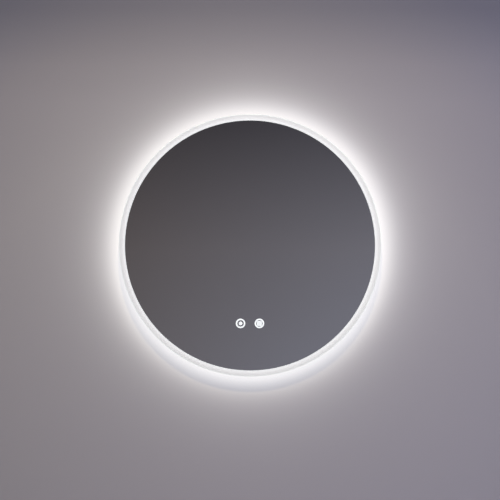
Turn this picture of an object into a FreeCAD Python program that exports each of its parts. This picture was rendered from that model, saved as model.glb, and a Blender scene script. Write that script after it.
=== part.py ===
import FreeCAD, Part
import math
import os
import re
import Sketcher

# A round bathroom mirror, 600 mm across, lit from behind and hung on a wall rail.
# Millimetres. +Z is up, the mirror faces -Y, and the wall is the plane Y = 0.
# The origin is on the wall, midway between the wall rail's two screw slots.
# A depth is a distance from the wall, so a depth of 40 lies at Y = -40.
# Across (X) and up (Z) are measured from the mirror's own axis, which is axis_drop
# below the origin. Only the two rails are drawn from the origin.

SIZES = [
    # the pane
    ("glass_radius", 300, "outside radius of the pane"),
    ("glass_thick", 5, "float glass"),
    ("band_width", 14, "clear band outside the silvering, where the light comes out"),
    ("coat_thick", 0.3, "silvering with its backing paint"),
    ("axis_drop", 140, "mirror axis below the rail's screw line"),
    # the stack from the wall to the pane
    ("wall_gap", 10, "wall to the back pan"),
    ("pan_thick", 1, "sheet steel of the back pan"),
    ("bay_depth", 24, "back pan to the pane"),
    # rolled frame
    ("light_gap", 22.5, "frame's web to the opal ring's wall"),
    ("frame_wall", 2, "frame section"),
    ("bond_flange", 14, "flange behind the pane"),
    ("screw_flange", 12, "flange on the back pan"),
    ("tape_thick", 1, "foam bonding tape"),
    ("tape_width", 10, "foam bonding tape"),
    ("tape_length", 60, "one straight length of the tape"),
    ("tape_count", 24, "lengths of tape round the flange"),
    ("tape_inset", 7.6, "tape's middle inside the frame's outer face"),
    ("slit_width", 0.6, "gap where the rolled frame's ends meet"),
    ("joiner_length", 75, "joiner plate, round the arc"),
    ("joiner_thick", 2, "joiner plate"),
    # lamp strip
    ("glue_thick", 0.3, "adhesive under the flexible board"),
    ("board_thick", 0.4, "flexible board"),
    ("board_width", 10, "flexible board"),
    ("chip_count", 62, "lamps round the frame"),
    ("chip_width", 2.8, "one lamp, round the frame"),
    ("chip_length", 3.5, "one lamp, front to back"),
    ("chip_height", 0.8, "one lamp, off the board"),
    ("plug_width", 16, "strip connector"),
    ("plug_height", 6, "strip connector, off the frame"),
    ("plug_room", 1, "strip connector to the strip's ends"),
    # opal ring
    ("glass_reveal", 5, "pane beyond the opal ring"),
    ("opal_wall", 2.5, "side wall of the opal ring"),
    ("opal_lip", 2, "lip behind the clear band"),
    ("seat_gap", 0.5, "loose fit of a trapped edge"),
    # back pan
    ("pan_inset", 0.5, "pan inside the opal ring's outer face"),
    ("rib_start", 125, "pressed rib's inner end from the axis"),
    ("rib_margin", 12, "pressed rib's outer end inside the frame"),
    ("rib_foot", 14, "pressed rib at its foot"),
    ("rib_crown", 6, "pressed rib's flat"),
    ("rib_reach", 2.5, "pressed rib towards the wall"),
    ("rib_count", 4, "pressed ribs"),
    ("vent_across", 150, "vent group from the axis"),
    ("vent_length", 40, "one vent"),
    ("vent_width", 4, "one vent"),
    ("vent_pitch", 10, "vent spacing"),
    ("vent_count", 6, "vents in a group"),
    ("screw_count", 4, "pan screws"),
    ("screw_radius", 1.9, "pan screw shank"),
    ("screw_flats", 7, "pan screw head across flats"),
    ("head_height", 2, "screw heads"),
    ("screw_reach", 7, "pan screw under its head"),
    ("hole_gap", 0.1, "clearance round a shank"),
    ("bumper_across", 130, "wall bumper from the axis"),
    ("bumper_below", 170, "wall bumper below the axis"),
    ("bumper_size", 16, "wall bumper, square"),
    # rails
    ("rail_thick", 2, "both rails, steel strip"),
    ("rail_length", 200, "both rails"),
    ("rail_below", 16, "wall rail below the screw line"),
    ("rail_above", 14, "wall rail's shelf above the screw line"),
    ("rail_standoff", 2.5, "room behind the upstand for the hook"),
    ("upstand_height", 16, "upstand above the shelf"),
    ("slot_spacing", 150, "wall screw slots, centre to centre"),
    ("slot_length", 12, "wall screw slot"),
    ("slot_radius", 2.75, "wall screw slot's end"),
    ("hanger_height", 28, "hanger rail's flange on the pan"),
    ("hook_length", 12, "hook behind the upstand"),
    ("hook_gap", 0.25, "hook to the upstand"),
    # wiring box
    ("box_width", 120, "wiring box"),
    ("box_height", 80, "wiring box"),
    ("box_up", 20, "wiring box centre above the axis"),
    ("box_depth", 18, "wiring box in front of the pan's rear face"),
    ("box_wall", 2, "moulded wall"),
    ("box_flange", 8, "flange round the box"),
    ("flange_thick", 1.5, "flange round the box"),
    ("flange_cut", 5, "flange and lid corners, cut off"),
    ("boss_size", 8, "lid screw boss, square"),
    ("snap_reach", 1.2, "snap ridge off the box wall"),
    ("snap_length", 20, "snap ridge"),
    ("snap_height", 2, "snap ridge"),
    ("fit_gap", 0.2, "clearance of a part in its cut-out"),
    ("lid_thick", 1.5, "wiring box lid"),
    ("lid_screw", 1.4, "lid screw shank radius"),
    ("lid_screw_flats", 5, "lid screw head across flats"),
    ("lid_screw_reach", 10, "lid screw under its head"),
    ("bore_radius", 4, "cable hole in the grommet"),
    ("neck_radius", 6.4, "grommet in the lid's hole"),
    ("grommet_lip", 2.1, "grommet lip beyond its neck"),
    ("grommet_thick", 2, "grommet lip"),
    ("grommet_across", 40, "grommet left of the box centre"),
    ("clamp_room", 1, "cord clamp to the box's upper wall"),
    ("clamp_across", 8, "cord clamp left of the box centre"),
    ("clamp_width", 9, "clamp bar"),
    ("clamp_height", 30, "clamp bar"),
    ("clamp_thick", 3, "clamp bar"),
    ("clamp_rise", 9, "clamp posts off the box floor"),
    ("clamp_spacing", 22, "clamp posts, centre to centre"),
    ("keeper_thick", 2, "ledge that holds the clamp bar's far end"),
    ("keeper_reach", 4, "ledge that holds the clamp bar's far end"),
    ("post_size", 7, "clamp post, square"),
    # terminal block
    ("block_across", 25, "terminal block right of the axis"),
    ("block_rise", 22, "terminal block's middle above the box's foot"),
    ("block_width", 34, "terminal block"),
    ("block_height", 22, "terminal block"),
    ("block_depth", 16, "terminal block"),
    ("pole_pitch", 10, "terminals"),
    ("cage_size", 5.8, "spring cage, square"),
    ("release_width", 5, "release slot"),
    ("release_height", 2.5, "release slot"),
    ("release_pitch", 11, "two release slots on a terminal"),
    # earth point
    ("earth_across", 80, "earth tab right of the axis"),
    ("earth_drop", 6, "earth tab below the wiring box"),
    ("tab_thick", 0.8, "earth tab"),
    ("tab_width", 6.3, "earth tab's blade"),
    ("tab_foot", 9, "earth tab's foot, square"),
    ("socket_thick", 3, "receptacle on the blade"),
    ("socket_width", 8, "receptacle on the blade"),
    ("socket_reach", 6, "receptacle on the blade"),
    # driver
    ("driver_width", 165, "driver case"),
    ("driver_height", 44, "driver case"),
    ("driver_drop", 28, "driver below the wiring box"),
    ("driver_room", 2.2, "driver to the demister's track"),
    ("driver_wall", 2, "driver case"),
    ("cap_deep", 4, "driver cap"),
    ("pad_width", 40, "foam pad under the driver"),
    ("pad_across", 55, "foam pad from the driver's middle"),
    ("rib_width", 4, "rib under the driver's board"),
    ("rib_height", 2.5, "rib under the driver's board"),
    ("rib_across", 60, "rib from the driver's middle"),
    ("circuit_thick", 1.6, "circuit boards"),
    ("coil_width", 32, "transformer"),
    ("coil_height", 28, "transformer"),
    ("coil_room", 2.4, "transformer to the driver's cap"),
    ("coil_across", 15, "transformer right of the driver's middle"),
    ("film_can_width", 18, "film capacitor"),
    ("film_can_height", 12, "film capacitor"),
    ("film_can_across", 35, "film capacitor left of the driver's middle"),
    # touch keys
    ("icon_across", 21.6, "each key from the axis"),
    ("icon_below", 178.5, "keys below the axis"),
    ("icon_radius", 11.3, "key's window in the silvering"),
    ("touch_width", 78, "touch housing"),
    ("touch_height", 36, "touch housing"),
    ("touch_deep", 17, "touch housing"),
    ("touch_wall", 2, "touch housing"),
    ("gasket_thick", 1, "foam gasket of the touch housing"),
    ("well_size", 22, "foam light well"),
    ("well_wall", 1.5, "foam light well"),
    ("window_size", 24, "key diffuser"),
    ("window_thick", 0.5, "key diffuser"),
    ("key_lamp", 5, "lamp behind a key"),
    ("key_lamp_height", 1.2, "lamp behind a key"),
    # demister
    ("film_width", 320, "heating film"),
    ("film_height", 260, "heating film"),
    ("film_up", 30, "film centre above the axis"),
    ("film_thick", 0.3, "heating film"),
    ("film_margin", 12, "film beyond its track"),
    ("film_tail", 32, "film below its track, for the connector"),
    ("track_width", 8, "heating track"),
    ("track_thick", 0.2, "heating track"),
    ("track_runs", 10, "runs of the heating track"),
    ("joint_room", 7, "film connector to the lamp lead"),
    ("joint_width", 24, "film connector"),
    ("joint_height", 16, "film connector"),
    ("joint_margin", 2, "film connector to the film's lower edge"),
    # inner leads
    ("lead_level", 8, "leads off the back pan"),
    ("lead_thick", 2.2, "flat lead"),
    ("lead_width", 5.2, "two-core flat lead"),
    ("core_width", 3.2, "one-core flat lead"),
    ("lane_gap", 12, "supply lead above the driver"),
    ("side_lane", 16, "leads past the driver's ends"),
    ("lamp_exit", 14, "lamp lead below the driver's middle"),
    ("lamp_room", 14, "lamp lead's level run below the touch housing"),
    ("touch_exit", 30, "touch lead left of the driver's middle"),
    ("demist_exit", 10, "demister lead above the driver's middle"),
    ("clip_size", 11, "lead clip, square"),
    ("clip_rise", 1.5, "clip above its lead"),
    ("sleeve_wall", 1, "grommet where the lead passes the frame"),
]

# Places and sizes that follow from the ones above.
DERIVED = {
    "pan_front": "wall_gap + pan_thick",
    "glass_back": "pan_front + bay_depth",
    "coat_back": "glass_back - coat_thick",
    "tape_back": "coat_back - tape_thick",
    "coat_radius": "glass_radius - band_width",
    "opal_radius": "glass_radius - glass_reveal",
    "lip_radius": "coat_radius + seat_gap",
    "pan_radius": "opal_radius - pan_inset",
    "frame_radius": "opal_radius - opal_wall - light_gap",
    "web_inside": "frame_radius - frame_wall",
    "light_level": "(pan_front + tape_back) / 2",
    "strip_inside": "frame_radius + glue_thick",
    "board_radius": "strip_inside + board_thick",
    "first_chip": "180 / chip_count - 90",
    "screw_circle": "frame_radius - screw_flange / 2",
    "rib_end": "frame_radius - screw_flange - rib_margin",
    "rib_back": "wall_gap - rib_reach",
    "upstand_back": "rail_thick + rail_standoff",
    "upstand_front": "upstand_back + rail_thick",
    "seat_level": "rail_above + upstand_height",
    "hanger_length": "rail_length",
    "hanger_top": "seat_level + hanger_height",
    "hanger_back": "wall_gap - rail_thick",
    "hook_front": "upstand_back - hook_gap",
    "hook_back": "hook_front - rail_thick",
    "box_front": "wall_gap + box_depth",
    "box_floor": "box_front - box_wall",
    "box_back": "wall_gap - flange_thick",
    "lid_back": "box_back - lid_thick",
    "lid_width": "box_width + 2 * box_flange",
    "lid_height": "box_height + 2 * box_flange",
    "boss_across": "box_width / 2 - box_wall - boss_size / 2",
    "box_roof": "box_up + box_height / 2 - box_wall",
    "box_foot": "box_up - box_height / 2",
    "cord_up": "box_roof - clamp_room - clamp_height / 2",
    "earth_below": "earth_drop - box_foot",
    "driver_below": "driver_drop - box_foot + driver_height / 2",
    "post_back": "box_floor - clamp_rise",
    "clamp_back": "post_back - clamp_thick",
    "block_up": "box_foot + block_rise",
    "block_back": "box_floor - block_depth",
    "block_foot": "block_up - block_height / 2",
    "lead_back": "pan_front + lead_level",
    "lead_middle": "lead_back + lead_thick / 2",
    "cage_back": "lead_middle - cage_size / 2",
    "driver_back": "pan_front + tape_thick",
    "cap_front": "film_back - track_thick - driver_room",
    "tray_front": "cap_front - cap_deep",
    "coil_front": "cap_front - driver_wall - coil_room",
    "board_back": "driver_back + driver_wall + rib_height",
    "board_front": "board_back + circuit_thick",
    "housing_front": "coat_back - gasket_thick",
    "housing_back": "housing_front - touch_deep",
    "key_board_back": "housing_back + touch_wall",
    "key_board_front": "key_board_back + circuit_thick",
    "window_back": "coat_back - window_thick",
    "film_back": "coat_back - film_thick",
    "film_foot": "film_up - film_height / 2",
    "joint_across": "side_across + lead_width / 2 + joint_room + joint_width / 2",
    "joint_up": "film_foot + joint_margin + joint_height / 2",
    "lane_up": "driver_height / 2 - driver_below + lane_gap",
    "side_across": "driver_width / 2 + side_lane",
    "lamp_out": "driver_below + lamp_exit",
    "lamp_level": "icon_below + touch_height / 2 + lamp_room",
    "demist_up": "demist_exit - driver_below",
    "driver_foot": "driver_below + driver_height / 2",
}

doc = FreeCAD.newDocument("LightedMirror")
sheet = doc.addObject("Spreadsheet::Sheet", "Sizes")
for row, (name, value, note) in enumerate(SIZES, start=1):
    sheet.set("A%d" % row, name)
    sheet.set("B%d" % row, str(value))
    sheet.set("C%d" % row, note)
    sheet.setAlias("B%d" % row, name)
doc.recompute()

names = [entry[0] for entry in SIZES]
parts = []


def formula(text):
    # Puts the sheet's name before each size, and each derived place's own formula in its stead.
    def swap(match):
        word = match.group(0)
        if word in DERIVED:
            return "(" + formula(DERIVED[word]) + ")"
        return "Sizes." + word if word in names else word

    return re.sub(r"[a-z][a-z_]*", swap, text)


def number(text):
    result = sheet.evalExpression(formula(text))
    return float(getattr(result, "Value", result))


# ---- sketches -------------------------------------------------------------------------

def pin(sketch, geometry, point, across, up):
    # Ties one point of a sketch to the sizes.
    for kind, axis, text in (("DistanceX", -2, across), ("DistanceY", -1, up)):
        value = number(text)
        if abs(value) < 1e-9:
            sketch.addConstraint(Sketcher.Constraint("PointOnObject", geometry, point, axis))
        else:
            index = sketch.addConstraint(Sketcher.Constraint(kind, -1, 1, geometry, point, value))
            sketch.setExpression("Constraints[%d]" % index, formula(text))


def polygon(*corners):
    def draw(sketch):
        first = sketch.GeometryCount
        count = len(corners)
        spots = [FreeCAD.Vector(number(across), number(up), 0) for across, up in corners]
        for i in range(count):
            sketch.addGeometry(Part.LineSegment(spots[i], spots[(i + 1) % count]), False)
        for i in range(count):
            following = first + (i + 1) % count
            sketch.addConstraint(Sketcher.Constraint("Coincident", first + i, 2, following, 1))
            pin(sketch, first + i, 1, *corners[i])

    return draw


def box(across, up, width, height):
    left = "%s - (%s) / 2" % (across, width)
    right = "%s + (%s) / 2" % (across, width)
    low = "%s - (%s) / 2" % (up, height)
    high = "%s + (%s) / 2" % (up, height)
    return polygon((left, low), (right, low), (right, high), (left, high))


def turned_quad(angle, *ends):
    # A four-sided outline along a radius of the mirror: each end is its radius and half width.
    corners = []
    for (radius, half), order in zip(ends, (("-", "+"), ("+", "-"))):
        for side in order:
            flip = "+" if side == "-" else "-"
            corners.append((
                "(%s) * cos(%s) %s (%s) * sin(%s)" % (radius, angle, flip, half, angle),
                "(%s) * sin(%s) %s (%s) * cos(%s)" % (radius, angle, side, half, angle),
            ))
    return polygon(*corners)


def cut_box(across, up, width, height, cut):
    # A rectangle with its four corners cut off.
    half, tall = "(%s) / 2" % width, "(%s) / 2" % height
    near, low = "(%s - %s)" % (half, cut), "(%s - %s)" % (tall, cut)
    quarter = [(half, low), (near, tall)]
    corners = []
    for side, level, order in (("+", "+", 1), ("-", "+", -1), ("-", "-", 1), ("+", "-", -1)):
        for x, z in quarter[::order]:
            corners.append(("%s %s %s" % (across, side, x), "%s %s %s" % (up, level, z)))
    return polygon(*corners)


def hexagon(across, up, flats):
    corners = []
    for side in range(6):
        turned = "(%d)" % (60 * side)
        reach = "(%s) / sqrt(3)" % flats
        corners.append((
            "%s + %s * cos%s" % (across, reach, turned), "%s + %s * sin%s" % (up, reach, turned),
        ))
    return polygon(*corners)


def disc(across, up, radius):
    def draw(sketch):
        centre = FreeCAD.Vector(number(across), number(up), 0)
        circle = Part.Circle(centre, FreeCAD.Vector(0, 0, 1), number(radius))
        geometry = sketch.addGeometry(circle, False)
        index = sketch.addConstraint(Sketcher.Constraint("Radius", geometry, number(radius)))
        sketch.setExpression("Constraints[%d]" % index, formula(radius))
        pin(sketch, geometry, 3, across, up)

    return draw


def slot(across, up, length, radius):
    # A level slot with round ends.
    def draw(sketch):
        first = sketch.GeometryCount
        reach = "((%s) / 2 - (%s))" % (length, radius)
        ends = ["%s + %s" % (across, reach), "%s - %s" % (across, reach)]
        size = number(radius)
        centres = [FreeCAD.Vector(number(end), number(up), 0) for end in ends]
        rise = FreeCAD.Vector(0, size, 0)
        for centre, start in zip(centres, (-math.pi / 2, math.pi / 2)):
            circle = Part.Circle(centre, FreeCAD.Vector(0, 0, 1), size)
            sketch.addGeometry(Part.ArcOfCircle(circle, start, start + math.pi), False)
        sketch.addGeometry(Part.LineSegment(centres[0] + rise, centres[1] + rise), False)
        sketch.addGeometry(Part.LineSegment(centres[1] - rise, centres[0] - rise), False)
        right, left, top, bottom = range(first, first + 4)
        for one, other in ((right, top), (top, left), (left, bottom), (bottom, right)):
            sketch.addConstraint(Sketcher.Constraint("Tangent", one, 2, other, 1))
        sketch.addConstraint(Sketcher.Constraint("Equal", right, left))
        index = sketch.addConstraint(Sketcher.Constraint("Radius", right, size))
        sketch.setExpression("Constraints[%d]" % index, formula(radius))
        pin(sketch, right, 3, ends[0], up)
        pin(sketch, left, 3, ends[1], up)

    return draw


# ---- bodies and their features --------------------------------------------------------

def origin_feature(body, role):
    return [feature for feature in body.Origin.OriginFeatures if feature.Role == role][0]


def sub_part(label, hangs=True):
    # Everything that hangs with the mirror is drawn from its axis; the rails from the origin.
    body = doc.addObject("PartDesign::Body", label)
    body.Label = label
    if hangs:
        body.setExpression("Placement.Base.z", formula("-axis_drop"))
    parts.append(body)
    return body


def sketch_on(body, role, offset, shapes):
    sketch = body.newObject("Sketcher::SketchObject", body.Label + "_outline")
    sketch.AttachmentSupport = [(origin_feature(body, role), "")]
    sketch.MapMode = "FlatFace"
    sketch.setExpression("AttachmentOffset.Base.z", formula(offset))
    for draw in shapes:
        draw(sketch)
    return sketch


def raise_from(body, depth, thick, *shapes):
    # Material from a depth towards the front.
    pad = body.newObject("PartDesign::Pad", body.Label + "_pad")
    pad.Profile = sketch_on(body, "XZ_Plane", depth, shapes)
    pad.setExpression("Length", formula(thick))
    return pad


def sink_from(body, depth, reach, *shapes):
    # A cut from a depth towards the wall, right through where no reach is given.
    pocket = body.newObject("PartDesign::Pocket", body.Label + "_cut")
    pocket.Profile = sketch_on(body, "XZ_Plane", depth, shapes)
    if reach:
        pocket.setExpression("Length", formula(reach))
    else:
        pocket.Type = "ThroughAll"
    return pocket


def sink_down(body, level, reach, *shapes):
    # A cut from a level straight down, its outline given as across and minus depth.
    pocket = body.newObject("PartDesign::Pocket", body.Label + "_way")
    pocket.Profile = sketch_on(body, "XY_Plane", level, shapes)
    pocket.setExpression("Length", formula(reach))
    return pocket


def turn(body, *corners):
    # A ring or disc round the mirror's axis, from corners given as radius and depth.
    outline = polygon(*[(radius, "-(%s)" % depth) for radius, depth in corners])
    ring = body.newObject("PartDesign::Revolution", body.Label + "_turned")
    ring.Profile = sketch_on(body, "XY_Plane", "0", [outline])
    ring.ReferenceAxis = (ring.Profile[0], ["V_Axis"])
    ring.Angle = 360
    return ring


def extrude_across(body, length, *corners):
    # A section of constant shape along X, from corners given as depth and up.
    outline = polygon(*[("-(%s)" % depth, up) for depth, up in corners])
    pad = body.newObject("PartDesign::Pad", body.Label + "_section")
    pad.Profile = sketch_on(body, "YZ_Plane", "0", [outline])
    pad.Midplane = True
    pad.setExpression("Length", formula(length))
    return pad


def loft_through(body, kind, lower, upper):
    # A tapered form between two outlines, each given as its depth and its drawing.
    loft = body.newObject("PartDesign::" + kind, body.Label + "_taper")
    loft.Profile = sketch_on(body, "XZ_Plane", lower[0], [lower[1]])
    loft.Sections = [sketch_on(body, "XZ_Plane", upper[0], [upper[1]])]
    loft.Ruled = True
    return loft


def repeat_round(body, features, count):
    pattern = body.newObject("PartDesign::PolarPattern", body.Label + "_round")
    pattern.Originals = features
    pattern.Axis = (origin_feature(body, "Y_Axis"), [""])
    pattern.Angle = 360
    pattern.setExpression("Occurrences", formula(count))
    body.Tip = pattern


def repeat_up(body, features, pitch, count):
    pattern = body.newObject("PartDesign::LinearPattern", body.Label + "_row")
    pattern.Originals = features
    pattern.Direction = (origin_feature(body, "Z_Axis"), [""])
    pattern.setExpression("Length", formula("%s * (%s - 1)" % (pitch, count)))
    pattern.setExpression("Occurrences", formula(count))
    body.Tip = pattern


# ---- the rails ------------------------------------------------------------------------

def wall_rail():
    body = sub_part("wall_rail", hangs=False)
    extrude_across(
        body, "rail_length",
        ("0", "-rail_below"), ("rail_thick", "-rail_below"),
        ("rail_thick", "rail_above - rail_thick"), ("upstand_front", "rail_above - rail_thick"),
        ("upstand_front", "seat_level"), ("upstand_back", "seat_level"),
        ("upstand_back", "rail_above"), ("0", "rail_above"),
    )
    sink_from(
        body, "rail_thick", None,
        slot("slot_spacing / 2", "0", "slot_length", "slot_radius"),
        slot("-slot_spacing / 2", "0", "slot_length", "slot_radius"),
    )


def hanger_rail():
    # Spot-welded to the pan; its hook drops behind the wall rail's upstand.
    body = sub_part("hanger_rail", hangs=False)
    extrude_across(
        body, "hanger_length",
        ("wall_gap", "seat_level"), ("wall_gap", "hanger_top"),
        ("hanger_back", "hanger_top"), ("hanger_back", "seat_level + rail_thick"),
        ("hook_back", "seat_level + rail_thick"), ("hook_back", "seat_level - hook_length"),
        ("hook_front", "seat_level - hook_length"), ("hook_front", "seat_level"),
    )


# ---- the pane -------------------------------------------------------------------------

def pane():
    glass = sub_part("mirror_glass")
    raise_from(glass, "glass_back", "glass_thick", disc("0", "0", "glass_radius"))
    # Two clear windows in the silvering show the keys.
    coat = sub_part("silver_coat")
    raise_from(coat, "coat_back", "coat_thick", disc("0", "0", "coat_radius"))
    sink_from(
        coat, "glass_back", None,
        disc("-icon_across", "-icon_below", "icon_radius"),
        disc("icon_across", "-icon_below", "icon_radius"),
    )


# ---- the rolled frame and what it carries ---------------------------------------------

def screw_spot():
    # The first pan screw lies half a pitch round from the level.
    return "screw_circle * cos(180 / screw_count)", "screw_circle * sin(180 / screw_count)"


def light_frame():
    frame = sub_part("light_frame")
    turn(
        frame, ("frame_radius - screw_flange", "pan_front"), ("frame_radius", "pan_front"),
        ("frame_radius", "tape_back"), ("frame_radius - bond_flange", "tape_back"),
        ("frame_radius - bond_flange", "tape_back - frame_wall"),
        ("web_inside", "tape_back - frame_wall"), ("web_inside", "pan_front + frame_wall"),
        ("frame_radius - screw_flange", "pan_front + frame_wall"),
    )
    slit_height = "bond_flange + 2 * frame_wall"
    sink_from(
        frame, "tape_back", None,
        box("0", "(frame_radius - bond_flange / 2)", "slit_width", slit_height),
    )
    sleeve = box(
        "0", "-lead_middle",
        "lead_width + 2 * sleeve_wall + 2 * hole_gap",
        "lead_thick + 2 * sleeve_wall + 2 * hole_gap",
    )
    sink_down(frame, "frame_wall - web_inside", "3 * frame_wall", sleeve)
    hole = sink_from(
        frame, "pan_front + frame_wall", None, disc(*screw_spot(), "screw_radius + hole_gap"),
    )
    repeat_round(frame, [hole], "screw_count")

    joiner = sub_part("frame_joiner")
    ring = joiner.newObject("PartDesign::Revolution", "joiner_arc")
    outline = polygon(
        ("-(pan_front + frame_wall + seat_gap)", "web_inside - joiner_thick"),
        ("-(tape_back - frame_wall - seat_gap)", "web_inside - joiner_thick"),
        ("-(tape_back - frame_wall - seat_gap)", "web_inside"),
        ("-(pan_front + frame_wall + seat_gap)", "web_inside"),
    )
    ring.Profile = sketch_on(joiner, "YZ_Plane", "0", [outline])
    ring.ReferenceAxis = (ring.Profile[0], ["H_Axis"])
    ring.Midplane = True
    ring.setExpression("Angle", formula("joiner_length / web_inside * 180 / pi"))

    # Straight lengths of tape follow the flange round.
    tape = sub_part("bond_tape")
    middle = "frame_radius - tape_inset"
    strip = raise_from(
        tape, "tape_back", "tape_thick", box(middle, "0", "tape_width", "tape_length"),
    )
    repeat_round(tape, [strip], "tape_count")


def lamp_strip():
    # The board lies flat behind each lamp and bends between two lamps.
    strip = sub_part("led_strip_board")
    low = "light_level - board_width / 2"
    inside, outside = "strip_inside * tan(180 / chip_count)", "board_radius * tan(180 / chip_count)"
    flat = raise_from(
        strip, low, "board_width",
        turned_quad("first_chip", ("strip_inside", inside), ("board_radius", outside)),
    )
    repeat_round(strip, [flat], "chip_count")
    sink_from(
        strip, "light_level + board_width / 2", None,
        box("0", "-frame_radius", "plug_width + 2 * plug_room", "4 * plug_height"),
    )

    # The first lamp lies half a pitch past the bottom, clear of the connector.
    chips = sub_part("led_chips")
    half = "chip_width / 2"
    chip = raise_from(
        chips, "light_level - chip_length / 2", "chip_length",
        turned_quad("first_chip", ("board_radius", half), ("board_radius + chip_height", half)),
    )
    repeat_round(chips, [chip], "chip_count")

    plug = sub_part("led_connector")
    raise_from(
        plug, low, "board_width",
        box("0", "-(frame_radius + plug_height / 2)", "plug_width", "plug_height"),
    )


def opal_ring():
    body = sub_part("opal_diffuser")
    inside = "opal_radius - opal_wall"
    turn(
        body, (inside, "pan_front"), ("opal_radius", "pan_front"),
        ("opal_radius", "glass_back"), ("lip_radius", "glass_back"),
        ("lip_radius", "glass_back - opal_lip"), (inside, "glass_back - opal_lip"),
    )


# ---- the back pan ---------------------------------------------------------------------

def back_pan():
    body = sub_part("back_pan")
    raise_from(body, "wall_gap", "pan_thick", disc("0", "0", "pan_radius"))
    # Each rib is pressed towards the wall, so the front of the sheet is hollow there.
    slope = "(rib_foot - rib_crown) / 2"
    foot = turned_quad(
        "180 / rib_count", ("rib_start", "rib_foot / 2"), ("rib_end", "rib_foot / 2"),
    )
    crown = turned_quad(
        "180 / rib_count", ("rib_start + " + slope, "rib_crown / 2"),
        ("rib_end - " + slope, "rib_crown / 2"),
    )
    rib = loft_through(body, "AdditiveLoft", ("wall_gap", foot), ("rib_back", crown))
    hollow = loft_through(
        body, "SubtractiveLoft", ("pan_front", foot), ("rib_back + pan_thick", crown),
    )
    repeat_round(body, [rib, hollow], "rib_count")
    sink_from(
        body, "pan_front", None,
        box("0", "box_up", "box_width + 2 * fit_gap", "box_height + 2 * fit_gap"),
    )
    lowest = "-vent_pitch * (vent_count - 1) / 2"
    vents = sink_from(
        body, "pan_front", None,
        box("-vent_across", lowest, "vent_length", "vent_width"),
        box("vent_across", lowest, "vent_length", "vent_width"),
    )
    repeat_up(body, [vents], "vent_pitch", "vent_count")
    hole = sink_from(body, "pan_front", None, disc(*screw_spot(), "screw_radius + hole_gap"))
    repeat_round(body, [hole], "screw_count")

    screws = sub_part("pan_screws")
    head = raise_from(
        screws, "wall_gap - head_height", "head_height", hexagon(*screw_spot(), "screw_flats"),
    )
    shank = raise_from(screws, "wall_gap", "screw_reach", disc(*screw_spot(), "screw_radius"))
    repeat_round(screws, [head, shank], "screw_count")

    bumpers = sub_part("wall_bumpers")
    raise_from(
        bumpers, "0", "wall_gap",
        box("-bumper_across", "-bumper_below", "bumper_size", "bumper_size"),
        box("bumper_across", "-bumper_below", "bumper_size", "bumper_size"),
    )


# ---- the wiring box -------------------------------------------------------------------

def boss_spots():
    return [("-boss_across", "box_up"), ("boss_across", "box_up")]


def clamp_spots():
    # The screw's post below the cable, the plain one above it.
    return [("-clamp_across", "cord_up %s clamp_spacing / 2" % side) for side in ("-", "+")]


def wiring_box():
    body = sub_part("wiring_box")
    raise_from(
        body, "box_back", "flange_thick",
        cut_box("0", "box_up", "lid_width", "lid_height", "flange_cut"),
    )
    raise_from(
        body, "box_back", "flange_thick + box_depth", box("0", "box_up", "box_width", "box_height"),
    )
    # The cavity leaves a square boss on each side wall.
    wide = "(box_width / 2 - box_wall)"
    narrow = "(box_width / 2 - box_wall - boss_size)"
    tall = "(box_height / 2 - box_wall)"
    half = "boss_size / 2"
    right = [
        (wide, "-" + tall), (wide, "-" + half), (narrow, "-" + half),
        (narrow, half), (wide, half), (wide, tall),
    ]
    corners = [(x, "box_up + " + z) for x, z in right]
    corners += [("-" + x, "box_up + " + z) for x, z in reversed(right)]
    sink_from(body, "box_floor", None, polygon(*corners))
    posts = [box(x, z, "post_size", "post_size") for x, z in clamp_spots()]
    raise_from(body, "post_back", "clamp_rise", *posts)
    raise_from(
        body, "clamp_back - hole_gap - keeper_thick", "keeper_thick",
        box("-clamp_across", "box_roof - keeper_reach / 2", "clamp_width", "keeper_reach"),
    )
    pilots = [disc(x, z, "lid_screw + hole_gap") for x, z in boss_spots()]
    sink_from(body, "lid_back + lid_screw_reach + seat_gap", None, *pilots)
    clamp_pilot = disc(*clamp_spots()[0], "lid_screw + hole_gap")
    sink_from(body, "clamp_back + lid_screw_reach + seat_gap", None, clamp_pilot)
    # Snap ridges catch the front of the pan.
    ridge = "(box_width + snap_reach) / 2"
    raise_from(
        body, "pan_front + hole_gap", "snap_height",
        box(ridge, "box_up", "snap_reach", "snap_length"),
        box("-" + ridge, "box_up", "snap_reach", "snap_length"),
    )
    # The inner leads leave through a window in the lower wall.
    middle = "block_across + pole_pitch / 4"
    width = "1.5 * pole_pitch + lead_width + 4 * fit_gap"
    window = box(middle, "-lead_middle", width, "lead_thick + 2 * fit_gap")
    sink_down(body, "box_foot + 2 * box_wall", "3 * box_wall", window)


def box_lid():
    lid = sub_part("box_lid")
    raise_from(
        lid, "lid_back", "lid_thick",
        cut_box("0", "box_up", "lid_width", "lid_height", "flange_cut"),
    )
    holes = [disc(x, z, "lid_screw + hole_gap") for x, z in boss_spots()]
    holes.append(disc("-grommet_across", "cord_up", "neck_radius + hole_gap"))
    sink_from(lid, "box_back", None, *holes)

    screws = sub_part("lid_screws")
    heads = [hexagon(x, z, "lid_screw_flats") for x, z in boss_spots()]
    raise_from(screws, "lid_back - head_height", "head_height", *heads)
    shanks = [disc(x, z, "lid_screw") for x, z in boss_spots()]
    raise_from(screws, "lid_back", "lid_screw_reach", *shanks)


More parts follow.
